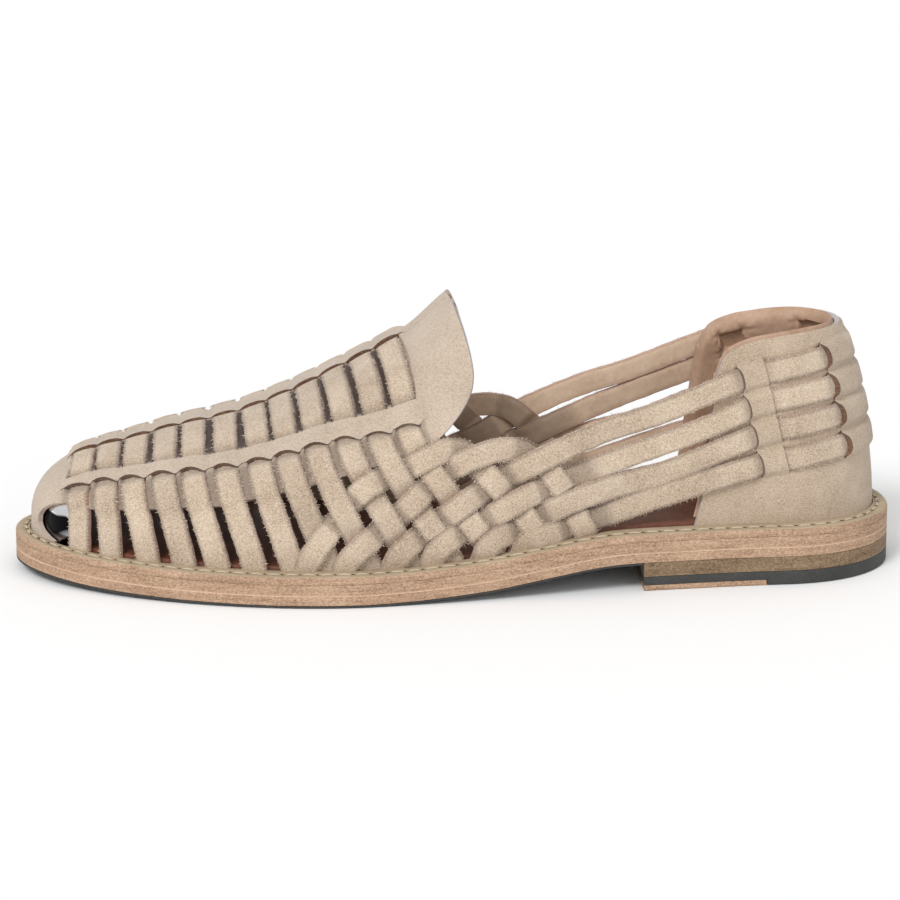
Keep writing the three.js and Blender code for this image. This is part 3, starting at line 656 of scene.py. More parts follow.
@dataclass(frozen=True)
class SoleEdge:
    """Ground and burnished edge of sole leather: rough, with fine level layers and darker scuffs."""

    name: str
    tones: tuple[str, str, str]
    layer: float = 0.45

    def material(self) -> bpy.types.Material:
        """Builds the node material.

        Returns:
            The material, with level layers, grit and scuffs.
        """
        material, tree = new_tree(self.name)
        layers = grain(tree, 4.5, 3, (0.25, 0.25, 4.5 / self.layer / 2))
        grit = grain(tree, 0.6, 3, (0.75, 0.75, 1.3))
        scuffs = grain(tree, 9, 4, (0.6, 0.6, 2.5))
        value = blended(tree, [(layers, 0.55), (grit, 1.8), (scuffs, 0.6)])
        # Painted shade would darken towards this colour; the sole's pieces carry none.
        colour = shaded(tree, three_tones(tree, value, self.tones), "5a3f2f")
        height = blended(tree, [(grit, 1.2), (layers, 0.4)])
        bump = add_node(tree, "ShaderNodeBump", {"Height": height, "Strength": 0.6, "Distance": 0.12 * MM})
        shader = add_node(tree, "ShaderNodeBsdfPrincipled", {
            "Base Color": colour, "Roughness": 0.72, "Normal": bump.outputs[0], "Specular IOR Level": 0.3,
        })
        add_node(tree, "ShaderNodeOutputMaterial", {"Surface": shader.outputs[0]})
        return material


@dataclass(frozen=True)
class Plain:
    """An even finish, such as rubber, thread, edge paint or metal, with fine grit."""

    name: str
    tones: tuple[str, str, str]
    roughness: float = 0.6
    metallic: float = 0.0
    speck: float = 0.6
    relief: float = 0.03

    def material(self) -> bpy.types.Material:
        """Builds the node material.

        Returns:
            The material.
        """
        material, tree = new_tree(self.name)
        specks = grain(tree, self.speck, 3)
        clouds = grain(tree, 12, 2)
        colour = three_tones(tree, blended(tree, [(specks, 1.0), (clouds, 0.6)]), self.tones)
        bump = add_node(tree, "ShaderNodeBump", {"Height": specks, "Strength": 0.4, "Distance": self.relief * MM})
        shader = add_node(tree, "ShaderNodeBsdfPrincipled", {
            "Base Color": colour, "Roughness": self.roughness, "Metallic": self.metallic,
            "Normal": bump.outputs[0],
        })
        add_node(tree, "ShaderNodeOutputMaterial", {"Surface": shader.outputs[0]})
        return material


@dataclass(frozen=True)
class Chrome:
    """Polished metal whose colour holds painted reflections: the deep dark and bright bands that curved chrome takes
    from its surroundings.
    """

    name: str
    # Painted reflections: dark and bright colours by height on the plate.
    bands: tuple[tuple[float, str], ...] = (
        (0.0, "0a0a0c"), (0.16, "0a0a0c"), (0.2, "a2a3a8"), (0.31, "6d6e74"), (0.35, "0c0c0e"), (0.6, "121215"),
        (0.64, "f5f5f7"), (1.0, "ffffff"),
    )

    def material(self) -> bpy.types.Material:
        """Builds the node material.

        Returns:
            The material, with wavy level bands of painted reflection.
        """
        material, tree = new_tree(self.name)
        place = add_node(tree, "ShaderNodeTexCoord", {})
        parts = add_node(tree, "ShaderNodeSeparateXYZ", {0: place.outputs["Generated"]})
        waves = add_node(tree, "ShaderNodeMath", {0: grain(tree, 12, 0.0), 1: 0.5}, operation="SUBTRACT")
        level = add_node(
            tree, "ShaderNodeMath", {0: waves.outputs[0], 1: 0.55, 2: parts.outputs["Z"]}, operation="MULTIPLY_ADD",
        )
        ramp_node = add_node(tree, "ShaderNodeValToRGB", {"Fac": level.outputs[0]})
        stops = ramp_node.color_ramp.elements
        stops[0].position, stops[0].color = self.bands[0][0], linear(self.bands[0][1])
        stops[1].position, stops[1].color = self.bands[-1][0], linear(self.bands[-1][1])
        for at, colour in self.bands[1:-1]:
            stops.new(at).color = linear(colour)
        shader = add_node(tree, "ShaderNodeBsdfPrincipled", {
            "Base Color": ramp_node.outputs["Color"], "Roughness": 0.06, "Metallic": 1.0,
        })
        add_node(tree, "ShaderNodeOutputMaterial", {"Surface": shader.outputs[0]})
        return material


@dataclass(frozen=True)
class Finishes:
    """Every finish of the shoe."""

    sheet: Suede = Suede("sheet_suede", ("9a8979", "b6a593", "c6b7a8"), speck=0.4, contrast=1.0, relief=0.1)
    sheet_edge: Suede = Suede("sheet_cut_edge", ("a08a7b", "bda99b", "d0bfb4"), speck=0.3, contrast=0.6, relief=0.08)
    strap: Suede = Suede("strap_suede", ("917b67", "c8b39c", "e8d7c2"), speck=0.33, contrast=1.0, relief=0.4)
    counter: Suede = Suede("heel_suede", ("907c66", "bba791", "d3c2ae"), speck=0.3, contrast=1.0, relief=0.34)
    # Cut faces in the slits: dark brown, painted shade of the slits over the leather's cut face.
    slit: Suede = Suede("slit_edge", ("3f2a1d", "684936", "8f6e55"), speck=0.4, contrast=1.3, relief=0.25)
    strap_edge: Suede = Suede("strap_cut_edge", ("94705b", "be9780", "d8b8a4"), speck=0.35, relief=0.12)
    nap: Plain = Plain("loose_nap", ("c9b59f", "dccab6", "ebddcd"), roughness=0.9)
    taupe: SmoothLeather = SmoothLeather("taupe_inside", ("bfa389", "d9bfa5", "e5d0b9"))
    lining: SmoothLeather = SmoothLeather("taupe_lining", ("98785e", "b0917a", "c3a58f"), relief=0.06)
    edge_paint: Plain = Plain("edge_paint", ("a9a2a3", "bab3b5", "c9c3c6"), roughness=0.5)
    welt: SmoothLeather = SmoothLeather("welt_top", ("94826c", "aa987e", "bcaa92"), roughness=0.6, relief=0.05)
    sole: SoleEdge = SoleEdge("sole_edge", ("7f6450", "a88a71", "c4a88f"))
    seam: Plain = Plain("layer_seam", ("b5937a", "d0af95", "e2c7ae"), roughness=0.65)
    lift: SoleEdge = SoleEdge("heel_lift_edge", ("56432f", "7c6750", "988268"))
    under: SmoothLeather = SmoothLeather("sole_underside", ("a98466", "bd9878", "cfae90"), roughness=0.5)
    rubber: Plain = Plain("black_rubber", ("232322", "333332", "434341"), roughness=0.62, relief=0.05)
    insole: SmoothLeather = SmoothLeather("insole_brown", ("4a2c20", "6b3f2d", "865640"), roughness=0.5)
    thread: Plain = Plain("welt_thread", ("aa9b84", "bbad96", "ccbea8"), roughness=0.8, speck=0.3)
    # Stitch holes: dark brown, painted shade in the holes.
    hole: Plain = Plain("stitch_hole", ("4c392b", "62493a", "765f4c"), roughness=0.9)
    # Chrome whose colour holds painted reflections.
    chrome: Chrome = Chrome("toe_chrome")
    patch: Plain = Plain("plain_patch", ("3c464a", "4a5458", "5c666a"), roughness=0.7)


class Shop:
    """Turns shapes into pieces of the model and keeps one material for each finish."""

    def __init__(self) -> None:
        """Starts with no materials made."""
        self.made: dict[str, bpy.types.Material] = {}

    def dress(self, finish: Suede | SmoothLeather | SoleEdge | Plain | Chrome) -> bpy.types.Material:
        """The finish's material, made once."""
        if finish.name not in self.made:
            self.made[finish.name] = finish.material()
        return self.made[finish.name]

    def piece(self, name: str, shape: Shape, finishes: Sequence, nodes: Sequence[str],
              sharp: float = 38.0) -> bpy.types.Object:
        """Makes one piece that rides on the shoe.

        Args:
            name: Name of the piece.
            shape: Its points and faces in millimetres.
            finishes: Finishes that the shape's faces count through.
            nodes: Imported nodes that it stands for.
            sharp: Angle in degrees past which an edge stays sharp.

        Returns:
            The piece's object.
        """
        mesh = bpy.data.meshes.new(name)
        mesh.from_pydata((shape.points * MM).tolist(), [], shape.faces)
        for finish in finishes:
            mesh.materials.append(self.dress(finish))
        mesh.polygons.foreach_set("material_index", shape.finish.astype(np.int32))
        # This point attribute carries painted shade, with some random darkening of the leather, to the materials.
        tone = mesh.attributes.new("tone", "FLOAT", "POINT")
        tone.data.foreach_set("value", shape.tone.astype(np.float32))
        work = bmesh.new()
        work.from_mesh(mesh)
        bmesh.ops.remove_doubles(work, verts=work.verts, dist=0.002 * MM)
        bmesh.ops.recalc_face_normals(work, faces=work.faces)
        work.to_mesh(mesh)
        work.free()
        mesh.shade_smooth()
        mesh.set_sharp_from_angle(angle=math.radians(sharp))
        obj = bpy.data.objects.new(name, mesh)
        bpy.context.scene.collection.objects.link(obj)
        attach(obj, BODY)
        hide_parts(*nodes)
        LOG.info("%s: %d faces", name, len(mesh.polygons))
        return obj


def keyed(x: np.ndarray, keys: Sequence[tuple[float, float]]) -> np.ndarray:
    """Value that eases from key to key, level before the first and after the last.

    Args:
        x: Where to read it.
        keys: Pairs of place and value; the places are put in order.

    Returns:
        Values in the shape of x.
    """
    ordered = sorted(keys)
    total = np.full(np.shape(x), ordered[0][1], float)
    for (at, before), (then, after) in zip(ordered, ordered[1:]):
        if then - at > 1e-6:
            total += (after - before) * ramp(x, at, then)
        else:
            total += (after - before) * (np.asarray(x) >= then)
    return total


def smooth_path(points: np.ndarray, step: float) -> np.ndarray:
    """Curve through the points by cubic pieces, sampled with about the given step.

    Args:
        points: Points to pass through.
        step: Distance between samples.

    Returns:
        The samples, in the units of the points.
    """
    lengths = np.concatenate([[0], np.cumsum(np.linalg.norm(np.diff(points, axis=0), axis=1))])
    slope = np.gradient(points, lengths, axis=0)
    t = np.linspace(0, lengths[-1], max(int(lengths[-1] / step), 8))
    i = np.clip(np.searchsorted(lengths, t, side="right") - 1, 0, len(lengths) - 2)
    width = (lengths[i + 1] - lengths[i])[:, None]
    u = ((t - lengths[i]) / width[:, 0])[:, None]
    return (
        (1 + 2 * u) * (1 - u) ** 2 * points[i] + u * (1 - u) ** 2 * width * slope[i]
        + u * u * (3 - 2 * u) * points[i + 1] + u * u * (u - 1) * width * slope[i + 1]
    )


@dataclass
class Strap:
    """A leather strap that follows a path of stations and places across the foot."""

    last: Last
    path: np.ndarray
    width: float
    seed: int
    thickness: float = 2.1
    crown: float = 0.14
    shade: float = 0.36
    step: float = 1.0
    keys: list[tuple[float, float]] = field(default_factory=list)
    widths: list[tuple[float, float]] = field(default_factory=list)

    def __post_init__(self) -> None:
        """Spaces the path evenly and measures it."""
        points = self.last.point(self.path[:, 0], self.path[:, 1])
        length = np.concatenate([[0], np.cumsum(np.linalg.norm(np.diff(points, axis=0), axis=1))])
        even = np.linspace(0, length[-1], max(int(length[-1] / self.step), 12))
        self.path = np.stack([np.interp(even, length, self.path[:, k]) for k in range(2)], -1)
        self.along = even

    def length_at(self, height: float, sign: int) -> float:
        """Length along the strap where it reaches a height number on one side of the foot."""
        q = self.path[:, 1]
        here = np.nonzero(q * sign >= 0)[0]
        gap = np.abs(1 - np.abs(q[here]) - height)
        return float(self.along[here[np.argmin(gap)]])

    def section(self) -> tuple[np.ndarray, np.ndarray, np.ndarray]:
        """Cross section: places across in half widths, heights in millimetres, and the finish of each strip."""
        t, c = self.thickness, self.crown
        x = np.array([-0.93, -1, -1, -0.98, -0.93, -0.7, -0.35, 0, 0.35, 0.7, 0.93, 0.98, 1, 1, 0.93, 0.45, 0, -0.45])
        z = np.array([0, 0.12, t - 0.36, t - 0.16, t - 0.05, t, t + c * 0.7, t + c, t + c * 0.7, t, t - 0.05,
                      t - 0.16, t - 0.36, 0.12, 0, 0, 0, 0])
        outer, cut, inner = Face.OUTER.value, Face.CUT.value, Face.INNER.value
        strips = [cut, cut] + [outer] * 10 + [cut, cut] + [inner] * 4
        return x, z, np.array(strips)

    def shape(self) -> Shape:
        """Sweeps the section along the path, hugging the last.

        Returns:
            The strap as a closed solid.
        """
        s, q = self.path[:, 0], self.path[:, 1]
        lift = keyed(self.along, self.keys or [(0, 0.0)])
        half = keyed(self.along, self.widths or [(0, self.width)]) / 2
        noise = np.random.default_rng(self.seed)
        rough = np.stack([np.convolve(noise.normal(0, 0.11, len(s) + 2), [0.3, 0.4, 0.3], "valid") for _ in range(2)])
        grow_s, grow_q = self.last.slopes(s, q)
        normal = unit(np.cross(grow_q, grow_s))
        centre = self.last.point(s, q) + normal * lift[:, None]
        tangent = unit(np.gradient(centre, axis=0))
        across = unit(np.cross(tangent, normal))
        a = (grow_s * grow_s).sum(-1)
        b = (grow_s * grow_q).sum(-1)
        d = (grow_q * grow_q).sum(-1)
        r1, r2 = (grow_s * across).sum(-1), (grow_q * across).sum(-1)
        det = a * d - b * b
        move_s, move_q = (d * r1 - b * r2) / det, (a * r2 - b * r1) / det
        x, z, strips = self.section()
        reach = half[:, None] * x + np.where(x < 0, rough[0][:, None], rough[1][:, None]) * np.abs(x)
        flat = centre[:, None] + across[:, None] * reach[..., None]
        hugging = self.last.point(s[:, None] + move_s[:, None] * reach, q[:, None] + move_q[:, None] * reach)
        on_last = self.last.point(s, q)[:, None] + across[:, None] * reach[..., None]
        sink = ((hugging - on_last) * normal[:, None]).sum(-1)
        sink = np.clip(sink, -1.5, 0.6)
        points = flat + normal[:, None] * (z + sink)[..., None]
        # Darker along both top edges: partly the cut edges' own darker colour, partly painted shade that outlines each
        # strap.
        edges = np.where((np.abs(x) > 0.9) & (z > 1), 0.34, 0.0)
        # Painted shade where the strap runs under another strap or under the leather's bands, and a little random
        # darkening per strap.
        lowest = np.lib.stride_tricks.sliding_window_view(np.pad(lift, 3, mode="edge"), 7).min(-1)
        painted_shade_under = self.shade * ramp(lowest, 0.08, -0.2) * ramp(lift, 2.1, 0.9)
        return swept(points, strips, edges + painted_shade_under[:, None] + noise.uniform(0, 0.1))


def crossings(first: np.ndarray, second: np.ndarray) -> list[tuple[float, float]]:
    """Places where two lines of points cross, as fractional point numbers on each."""
    found = []
    d1, d2 = np.diff(first, axis=0), np.diff(second, axis=0)
    for i, step in enumerate(d1):
        gap = second[:-1] - first[i]
        det = step[0] * -d2[:, 1] + d2[:, 0] * step[1]
        det = np.where(np.abs(det) < 1e-12, 1e-12, det)
        t = (gap[:, 0] * -d2[:, 1] + d2[:, 0] * gap[:, 1]) / det
        u = (step[0] * gap[:, 1] - step[1] * gap[:, 0]) / det
        for k in np.nonzero((t >= 0) & (t < 1) & (u >= 0) & (u < 1))[0]:
            found.append((i + float(t[k]), int(k) + float(u[k])))
    return found


def inner_raise(k: int, s: np.ndarray, side: Side) -> np.ndarray:
    """How much higher a rear strap runs at the given stations on one side."""
    amount = INNER_RAISE.get(k, 0.0) if side is Side.MEDIAL else 0.0
    return amount * ramp(s, RAISE_FROM, RAISE_TO)


@dataclass
class StrapWork:
    """All straps of the shoe: those across the foot, the side weave and the rear straps."""

    last: Last
    cross_width: float = 7.9
    weave_width: float = 8.1
    rear_width: float = 7.6
    over: float = 2.2
    under: float = -0.25
    on_sheet: float = 1.6
    in_slit: float = -0.35
    hold: float = 2.3
    dive: float = 3.4
    band: float = 0.085
    top_band: float = 0.945
    on_counter: float = 1.9
    on_counter_back: float = 1.25
    cross: list[Strap] = field(default_factory=list)
    weave: dict[tuple[int, int], Strap] = field(default_factory=dict)

    def cross_path(self, k: int) -> np.ndarray:
        """Path of a cross strap from its outer foot over the top to its inner foot."""
        foot, slit_at, ridge = (CROSS_STRAPS[name][k] * self.last.length for name in ("foot", "slit", "ridge"))
        slit = float(follow(SHEET, "at", "slit", np.array(slit_at / self.last.length)))
        q = np.linspace(-1.035, 1.035, 400)
        v = np.clip(1 - np.abs(q), 0, 1)
        low = foot + (slit_at - foot) * (1 - np.clip(1 - v / slit, 0, 1) ** self.last.strap_lean)
        high = slit_at + (ridge - slit_at) * (v - slit) / (1 - slit)
        return np.stack([np.where(v < slit, low, high), q], -1)

    def weave_path(self, k: int, side: Side) -> np.ndarray:
        """Path of a weave or rear strap on one side."""
        table = WEAVE_PATHS[k]
        points = np.stack([np.array(table["at"]) * self.last.length, np.array(table["height"]) * 90], -1)
        curve = smooth_path(points, 0.8)
        height = curve[:, 1] / 90 + inner_raise(k, curve[:, 0], side)
        return np.stack([curve[:, 0], side.value * (1 - height)], -1)

    def sheet_keys(self, strap: Strap, k: int, sign: int) -> list[tuple[float, float]]:
        """Lifts of a cross strap on one side from the sheet's lower edge up to the top band."""
        at = np.array(CROSS_STRAPS["slit"][k])
        edge, slit = (float(follow(SHEET, "at", name, at)) for name in ("edge", "slit"))
        edge = max(edge, 0.29)
        d_edge, d_slit, d_band, d_top = (
            strap.length_at(height, sign) for height in (edge, slit, slit + self.band, self.top_band)
        )
        inward = -sign
        return [
            (d_edge - 2.6 * inward, 0.1), (d_edge + 0.8 * inward, self.on_sheet),
            (d_slit - self.dive * inward, self.on_sheet), (d_slit + 0.3 * inward, self.in_slit),
            (d_band - 0.3 * inward, self.in_slit), (d_band + self.dive * inward, self.on_sheet),
            (d_top - self.dive * inward, self.on_sheet), (d_top + 0.3 * inward, self.in_slit),
        ]

    def lay_out(self) -> None:
        """Makes every strap and gives it its lifts, over and under by turns in the weave."""
        length = self.last.length
        for k in range(len(CROSS_STRAPS["foot"])):
            strap = Strap(self.last, self.cross_path(k), self.cross_width, seed=k, shade=0.14)
            for side in Side:
                strap.keys += self.sheet_keys(strap, k, side.value)
            strap.widths = [(0, self.cross_width + 0.3), (strap.along[-1] / 2, self.cross_width)]
            strap.widths.append((strap.along[-1], self.cross_width + 0.3))
            self.cross.append(strap)
        for side in Side:
            for k in WEAVE_PATHS:
                strap = Strap(self.last, self.weave_path(k, side), self.weave_width, seed=40 + 10 * k + side.value)
                strap.keys = [(0.0, 0.1), (strap.along[-1], 0.1)]
                if k > 2:
                    strap.keys = [(0.0, 0.1)] + self.rear_keys(strap)
                    strap.widths = [(0, self.weave_width), (60, self.weave_width), (85, self.rear_width)]
                self.weave[k, side.value] = strap
            self.cross_over(side)
        LOG.info("straps laid out on a last of %.1f mm", length)

    def rear_keys(self, strap: Strap) -> list[tuple[float, float]]:
        """Lifts of a rear strap from the weave back round the counter."""
        s, v = strap.path[:, 0], 1 - np.abs(strap.path[:, 1])
        lines = counter_lines(v)

        def where(line: np.ndarray) -> float:
            """Length along the strap where it meets a line of stations."""
            return float(strap.along[np.argmin(np.abs(s - line))])

        front, behind, back = (where(line) for line in lines[1:])
        return [
            (where(np.full_like(s, 92.0)), 0.5), (where(lines[0]) - 1.0, self.on_counter),
            (front - 3.2, self.on_counter), (front + 0.2, 0.0), (behind - 0.2, 0.0),
            (behind + 3.2, self.on_counter_back), (back - 3.2, self.on_counter_back), (back + 0.2, 0.0),
        ]

    def cross_over(self, side: Side) -> None:
        """Finds the weave's crossings on one side and lifts one strap over the other at each."""
        rising: dict[int, tuple[Strap, slice]] = {}
        falling: dict[int, tuple[Strap, slice]] = {}
        for k in WEAVE_PATHS:
            strap = self.weave[k, side.value]
            top = int(np.argmin(np.abs(strap.path[:, 1])))
            rising[k] = (strap, slice(0, (top if k < 3 else len(strap.along))))
            if k < 3:
                falling[12 + k] = (strap, slice(top, len(strap.along)))
        for j in range(7, 12):
            strap = self.cross[j]
            here = np.nonzero(strap.path[:, 1] * side.value > 0)[0]
            falling[j + 1] = (strap, slice(here[0], here[-1] + 1))
        events: list[tuple[Strap, float, float]] = []
        for k, (low, part_low) in rising.items():
            for j, (high, part_high) in falling.items():
                if low is high:
                    continue
                a, b = low.path[part_low] * (1, 90), high.path[part_high] * (1, 90)
                for t, u in crossings(a, b)[:1]:
                    at_low = float(np.interp(t, np.arange(len(a)), low.along[part_low]))
                    at_high = float(np.interp(u, np.arange(len(b)), high.along[part_high]))
                    on_top = (j - 7 - k) % 2 == 0
                    events.append((low, at_low, self.over if on_top else self.under))
                    events.append((high, at_high, self.under if on_top else self.over))
        for strap, at, lift in events:
            near = [key for key in strap.keys if abs(key[0] - at) < self.hold + 0.3 and key[1] in (0.1, self.on_sheet)]
            for key in near:
                strap.keys.remove(key)
            strap.keys += [(at - self.hold, lift), (at + self.hold, lift)]

    def make(self, shop: Shop, finishes: Finishes) -> None:
        """Builds the strap pieces."""
        dress = (finishes.strap, finishes.strap_edge, finishes.taupe)
        shop.piece("cross_straps", Shape.joined([s.shape() for s in self.cross]), dress, ["upper"])
        groups = {"side_weave_straps": (1, 2), "rear_straps": (3, 4, 5, 6)}
        for name, members in groups.items():
            shapes = [self.weave[k, side.value].shape() for k in members for side in Side]
            shop.piece(name, Shape.joined(shapes), dress, ["upper"])


def counter_lines(v: np.ndarray) -> tuple[np.ndarray, np.ndarray, np.ndarray, np.ndarray]:
    """Stations of the heel counter's front edge, front slits, places behind the front band and back slits."""
    v = np.asarray(v, float)
    front = np.interp(v, (0, 0.079, 0.374), (70.8, 68.2, 63.3))
    return front, 48.5 + (v - 0.154) * 32, 39.7 + (v - 0.167) * 32, 18.2 + (v - 0.196) * 12


@dataclass
class VampSheet:
    """One sheet of leather over the foot, with slit rows that the cross straps run through."""

    last: Last
    straps: StrapWork
    thickness: float = 1.8
    bulge: float = 1.6
    press: float = 0.35
    dip: float = 1.2
    dip_reach: float = 3.0
    bump_width: float = 4.75
    curl: float = 0.55
    valley: float = 0.38
    flare: float = 3.6
    columns: int = 270
    rows: tuple[int, int, int, int] = (14, 9, 20, 8)
    slit_sag: float = 1.3
    slit_tilt: float = 0.16

    def bumps(self, s: np.ndarray, v: np.ndarray) -> tuple[np.ndarray, np.ndarray, np.ndarray]:
        """How far each point lies over a strap, and how far from the middles of the nearest strap and the next."""
        nearest = np.full(s.shape, 99.0)
        second = nearest.copy()
        for k in range(len(CROSS_STRAPS["foot"])):
            foot, slit_at, ridge = (CROSS_STRAPS[n][k] * self.last.length for n in ("foot", "slit", "ridge"))
            slit = float(follow(SHEET, "at", "slit", np.array(slit_at / self.last.length)))
            low = foot + (slit_at - foot) * (1 - np.clip(1 - v / slit, 0, 1) ** self.last.strap_lean)
            high = slit_at + (ridge - slit_at) * (v - slit) / (1 - slit)
            away = s - np.where(v < slit, low, high)
            second = np.minimum(second, np.maximum(np.abs(away), np.abs(nearest)))
            nearest = np.where(np.abs(away) < np.abs(nearest), away, nearest)
        return np.exp(-(np.abs(nearest) / self.bump_width) ** 5), nearest, second

    def lines(self, s: np.ndarray) -> list[np.ndarray]:
        """Heights of the sheet's lower edge, slit row, top of the side band, edge of the top band, and top."""
        at = s / self.last.length
        edge, slit = follow(SHEET, "at", "edge", at), follow(SHEET, "at", "slit", at)
        return [edge, slit, slit + self.straps.band, np.full_like(s, self.straps.top_band), np.ones_like(s)]

    def make(self, shop: Shop, finishes: Finishes) -> None:
        """Builds the sheet with its bulging bands, slits painted dark with shade, and painted shade between the straps.
        """
        share: list[tuple[int, float, float]] = []
        for zone, count in enumerate(self.rows):
            for i in range(count + 1):
                share.append((zone, i / count, 0.0))
        half = len(share)
        zone = np.array([z for z, _, _ in share])[:, None]
        part = np.array([p for _, p, _ in share])[:, None]
        f = np.linspace(0, 1, self.columns)[None, :]
        f = 1 - (1 - f) * (1 - 0.35 * f**6)
        end = self.last.length - self.last.end_inset
        s = np.broadcast_to(170 + (end - 170) * f, (half, self.columns)).copy()
        for _ in range(12):
            lines = np.stack(self.lines(s))
            low = np.take_along_axis(lines, np.broadcast_to(zone[None], (1,) + s.shape), 0)[0]
            high = np.take_along_axis(lines, np.broadcast_to(zone[None] + 1, (1,) + s.shape), 0)[0]
            v = low + (high - low) * part
            tongue = follow(TONGUE, "height", "at", v) * self.last.length
            s = 0.3 * s + 0.7 * (tongue + (end - tongue) * f)
        f_strap, away, second = self.bumps(s, v)
        grow_s, grow_q = self.last.slopes(s, 1 - v)
        per = 1 / np.linalg.norm(grow_q, axis=-1)
        on_row = np.exp(-(np.abs(away) / 4.7) ** 8)
        droop = (self.slit_sag * (away / 4.4) ** 2 - self.slit_tilt * away) * on_row * per
        near_slit = np.where(zone == 0, part**3, np.where(zone == 1, (1 - part) ** 2, 0))
        near_top = np.where(zone == 2, part**5, np.where(zone == 3, (1 - part) ** 2, 0))
        shift = droop * near_slit + 0.8 * self.slit_sag * (away / 4.4) ** 2 * on_row * per * near_top
        v = v - shift
        band = (zone == 1) | (zone == 3)
        mm_from = np.where(zone == 0, 1 - part, np.where(zone == 2, np.minimum(part, 1 - part), 0)) * (high - low) / per
        dipping = np.where(zone == 0, 1 - ramp(mm_from, 0, self.dip_reach), 1 - ramp(mm_from, 0, self.dip_reach))
        lip = np.where(zone == 1, (1 - part) ** 3, np.where(zone == 3, (1 - part) ** 3, 0))
        middle = np.where(zone == 1, np.sin(np.pi * part), 0)
        f_band = f_strap + self.valley * (1 - f_strap) * ramp(np.abs(away), 6.8, 5.0)
        rise = np.where(
            band, (self.bulge + self.curl * lip + 0.25 * middle) * f_band,
            -self.press * f_strap * (zone == 2) - self.dip * f_strap * dipping,
        )
        bridge = ramp(np.abs(away), 3.65, 4.2) * ramp(mm_from, 6, 0) * ((zone == 0) | (zone == 2))
        rise = rise * (1 - bridge) + (self.bulge * f_band - 0.03) * bridge
        tip = np.clip(1 - (s - tongue) / 24, 0, 1) ** 2 * np.exp(-((1 - v) / 0.42) ** 2)
        rise = rise + self.flare * tip
        # Painted shade on the sheet between the cross straps: deep in the windows below the top band, lighter on the
        # flap below the slit row.
        between = np.maximum(ramp(second, 8.9, 8.1), 0.6 * ramp(np.abs(away), 4.7, 4.1))
        gap = np.where((zone == 0) | (zone == 2), ramp(np.abs(away), 3.6, 3.9) * between, 0)
        beside = gap * np.where(zone == 2, ramp(mm_from, 0.1, 1.0), 0.45 * ramp(mm_from, 0.2, 1.6))
        tone = np.maximum(beside, 0.26 * (zone == 0) * ramp(np.abs(away), 6.0, 5.2))
        grid_s = np.concatenate([s, s[::-1][1:]])
        grid_q = np.concatenate([-(1 - v), (1 - v)[::-1][1:]])
        grid_rise = np.concatenate([rise, rise[::-1][1:]])
        grid_painted_shade = np.concatenate([tone, tone[::-1][1:]])
        outer = self.last.offset(grid_s, grid_q, grid_rise + self.thickness)
        inner = self.last.offset(grid_s, grid_q, grid_rise)
        ends = np.cumsum([c + 1 for c in self.rows])[:-1] - 1
        cuts = [int(e) for e in ends] + [2 * half - 3 - int(e) for e in ends]
        shape = Shape.joined([shell(outer, inner, grid_painted_shade, cuts), *[self.toe_lip(side) for side in Side]])
        dress = (finishes.sheet, finishes.slit, finishes.taupe, finishes.sheet_edge)
        shop.piece("vamp_sheet", shape, dress, ["upper"])

    def toe_lip(self, side: Side) -> Shape:
        """The sheet's lip under the opening beside the toe."""
        at = np.linspace(TOE_LIP["at"][0], TOE_LIP["at"][-1], 26)[None, :]
        top = follow(TOE_LIP, "at", "height", at)
        v = -0.03 + (top + 0.03) * np.linspace(0, 1, 12)[:, None]
        s = np.broadcast_to(at * self.last.length, v.shape)
        q = side.value * (1 - v)
        return shell(
            self.last.offset(s, q, np.full(s.shape, self.thickness)), self.last.offset(s, q, np.zeros(s.shape)),
            np.zeros(s.shape),
        )


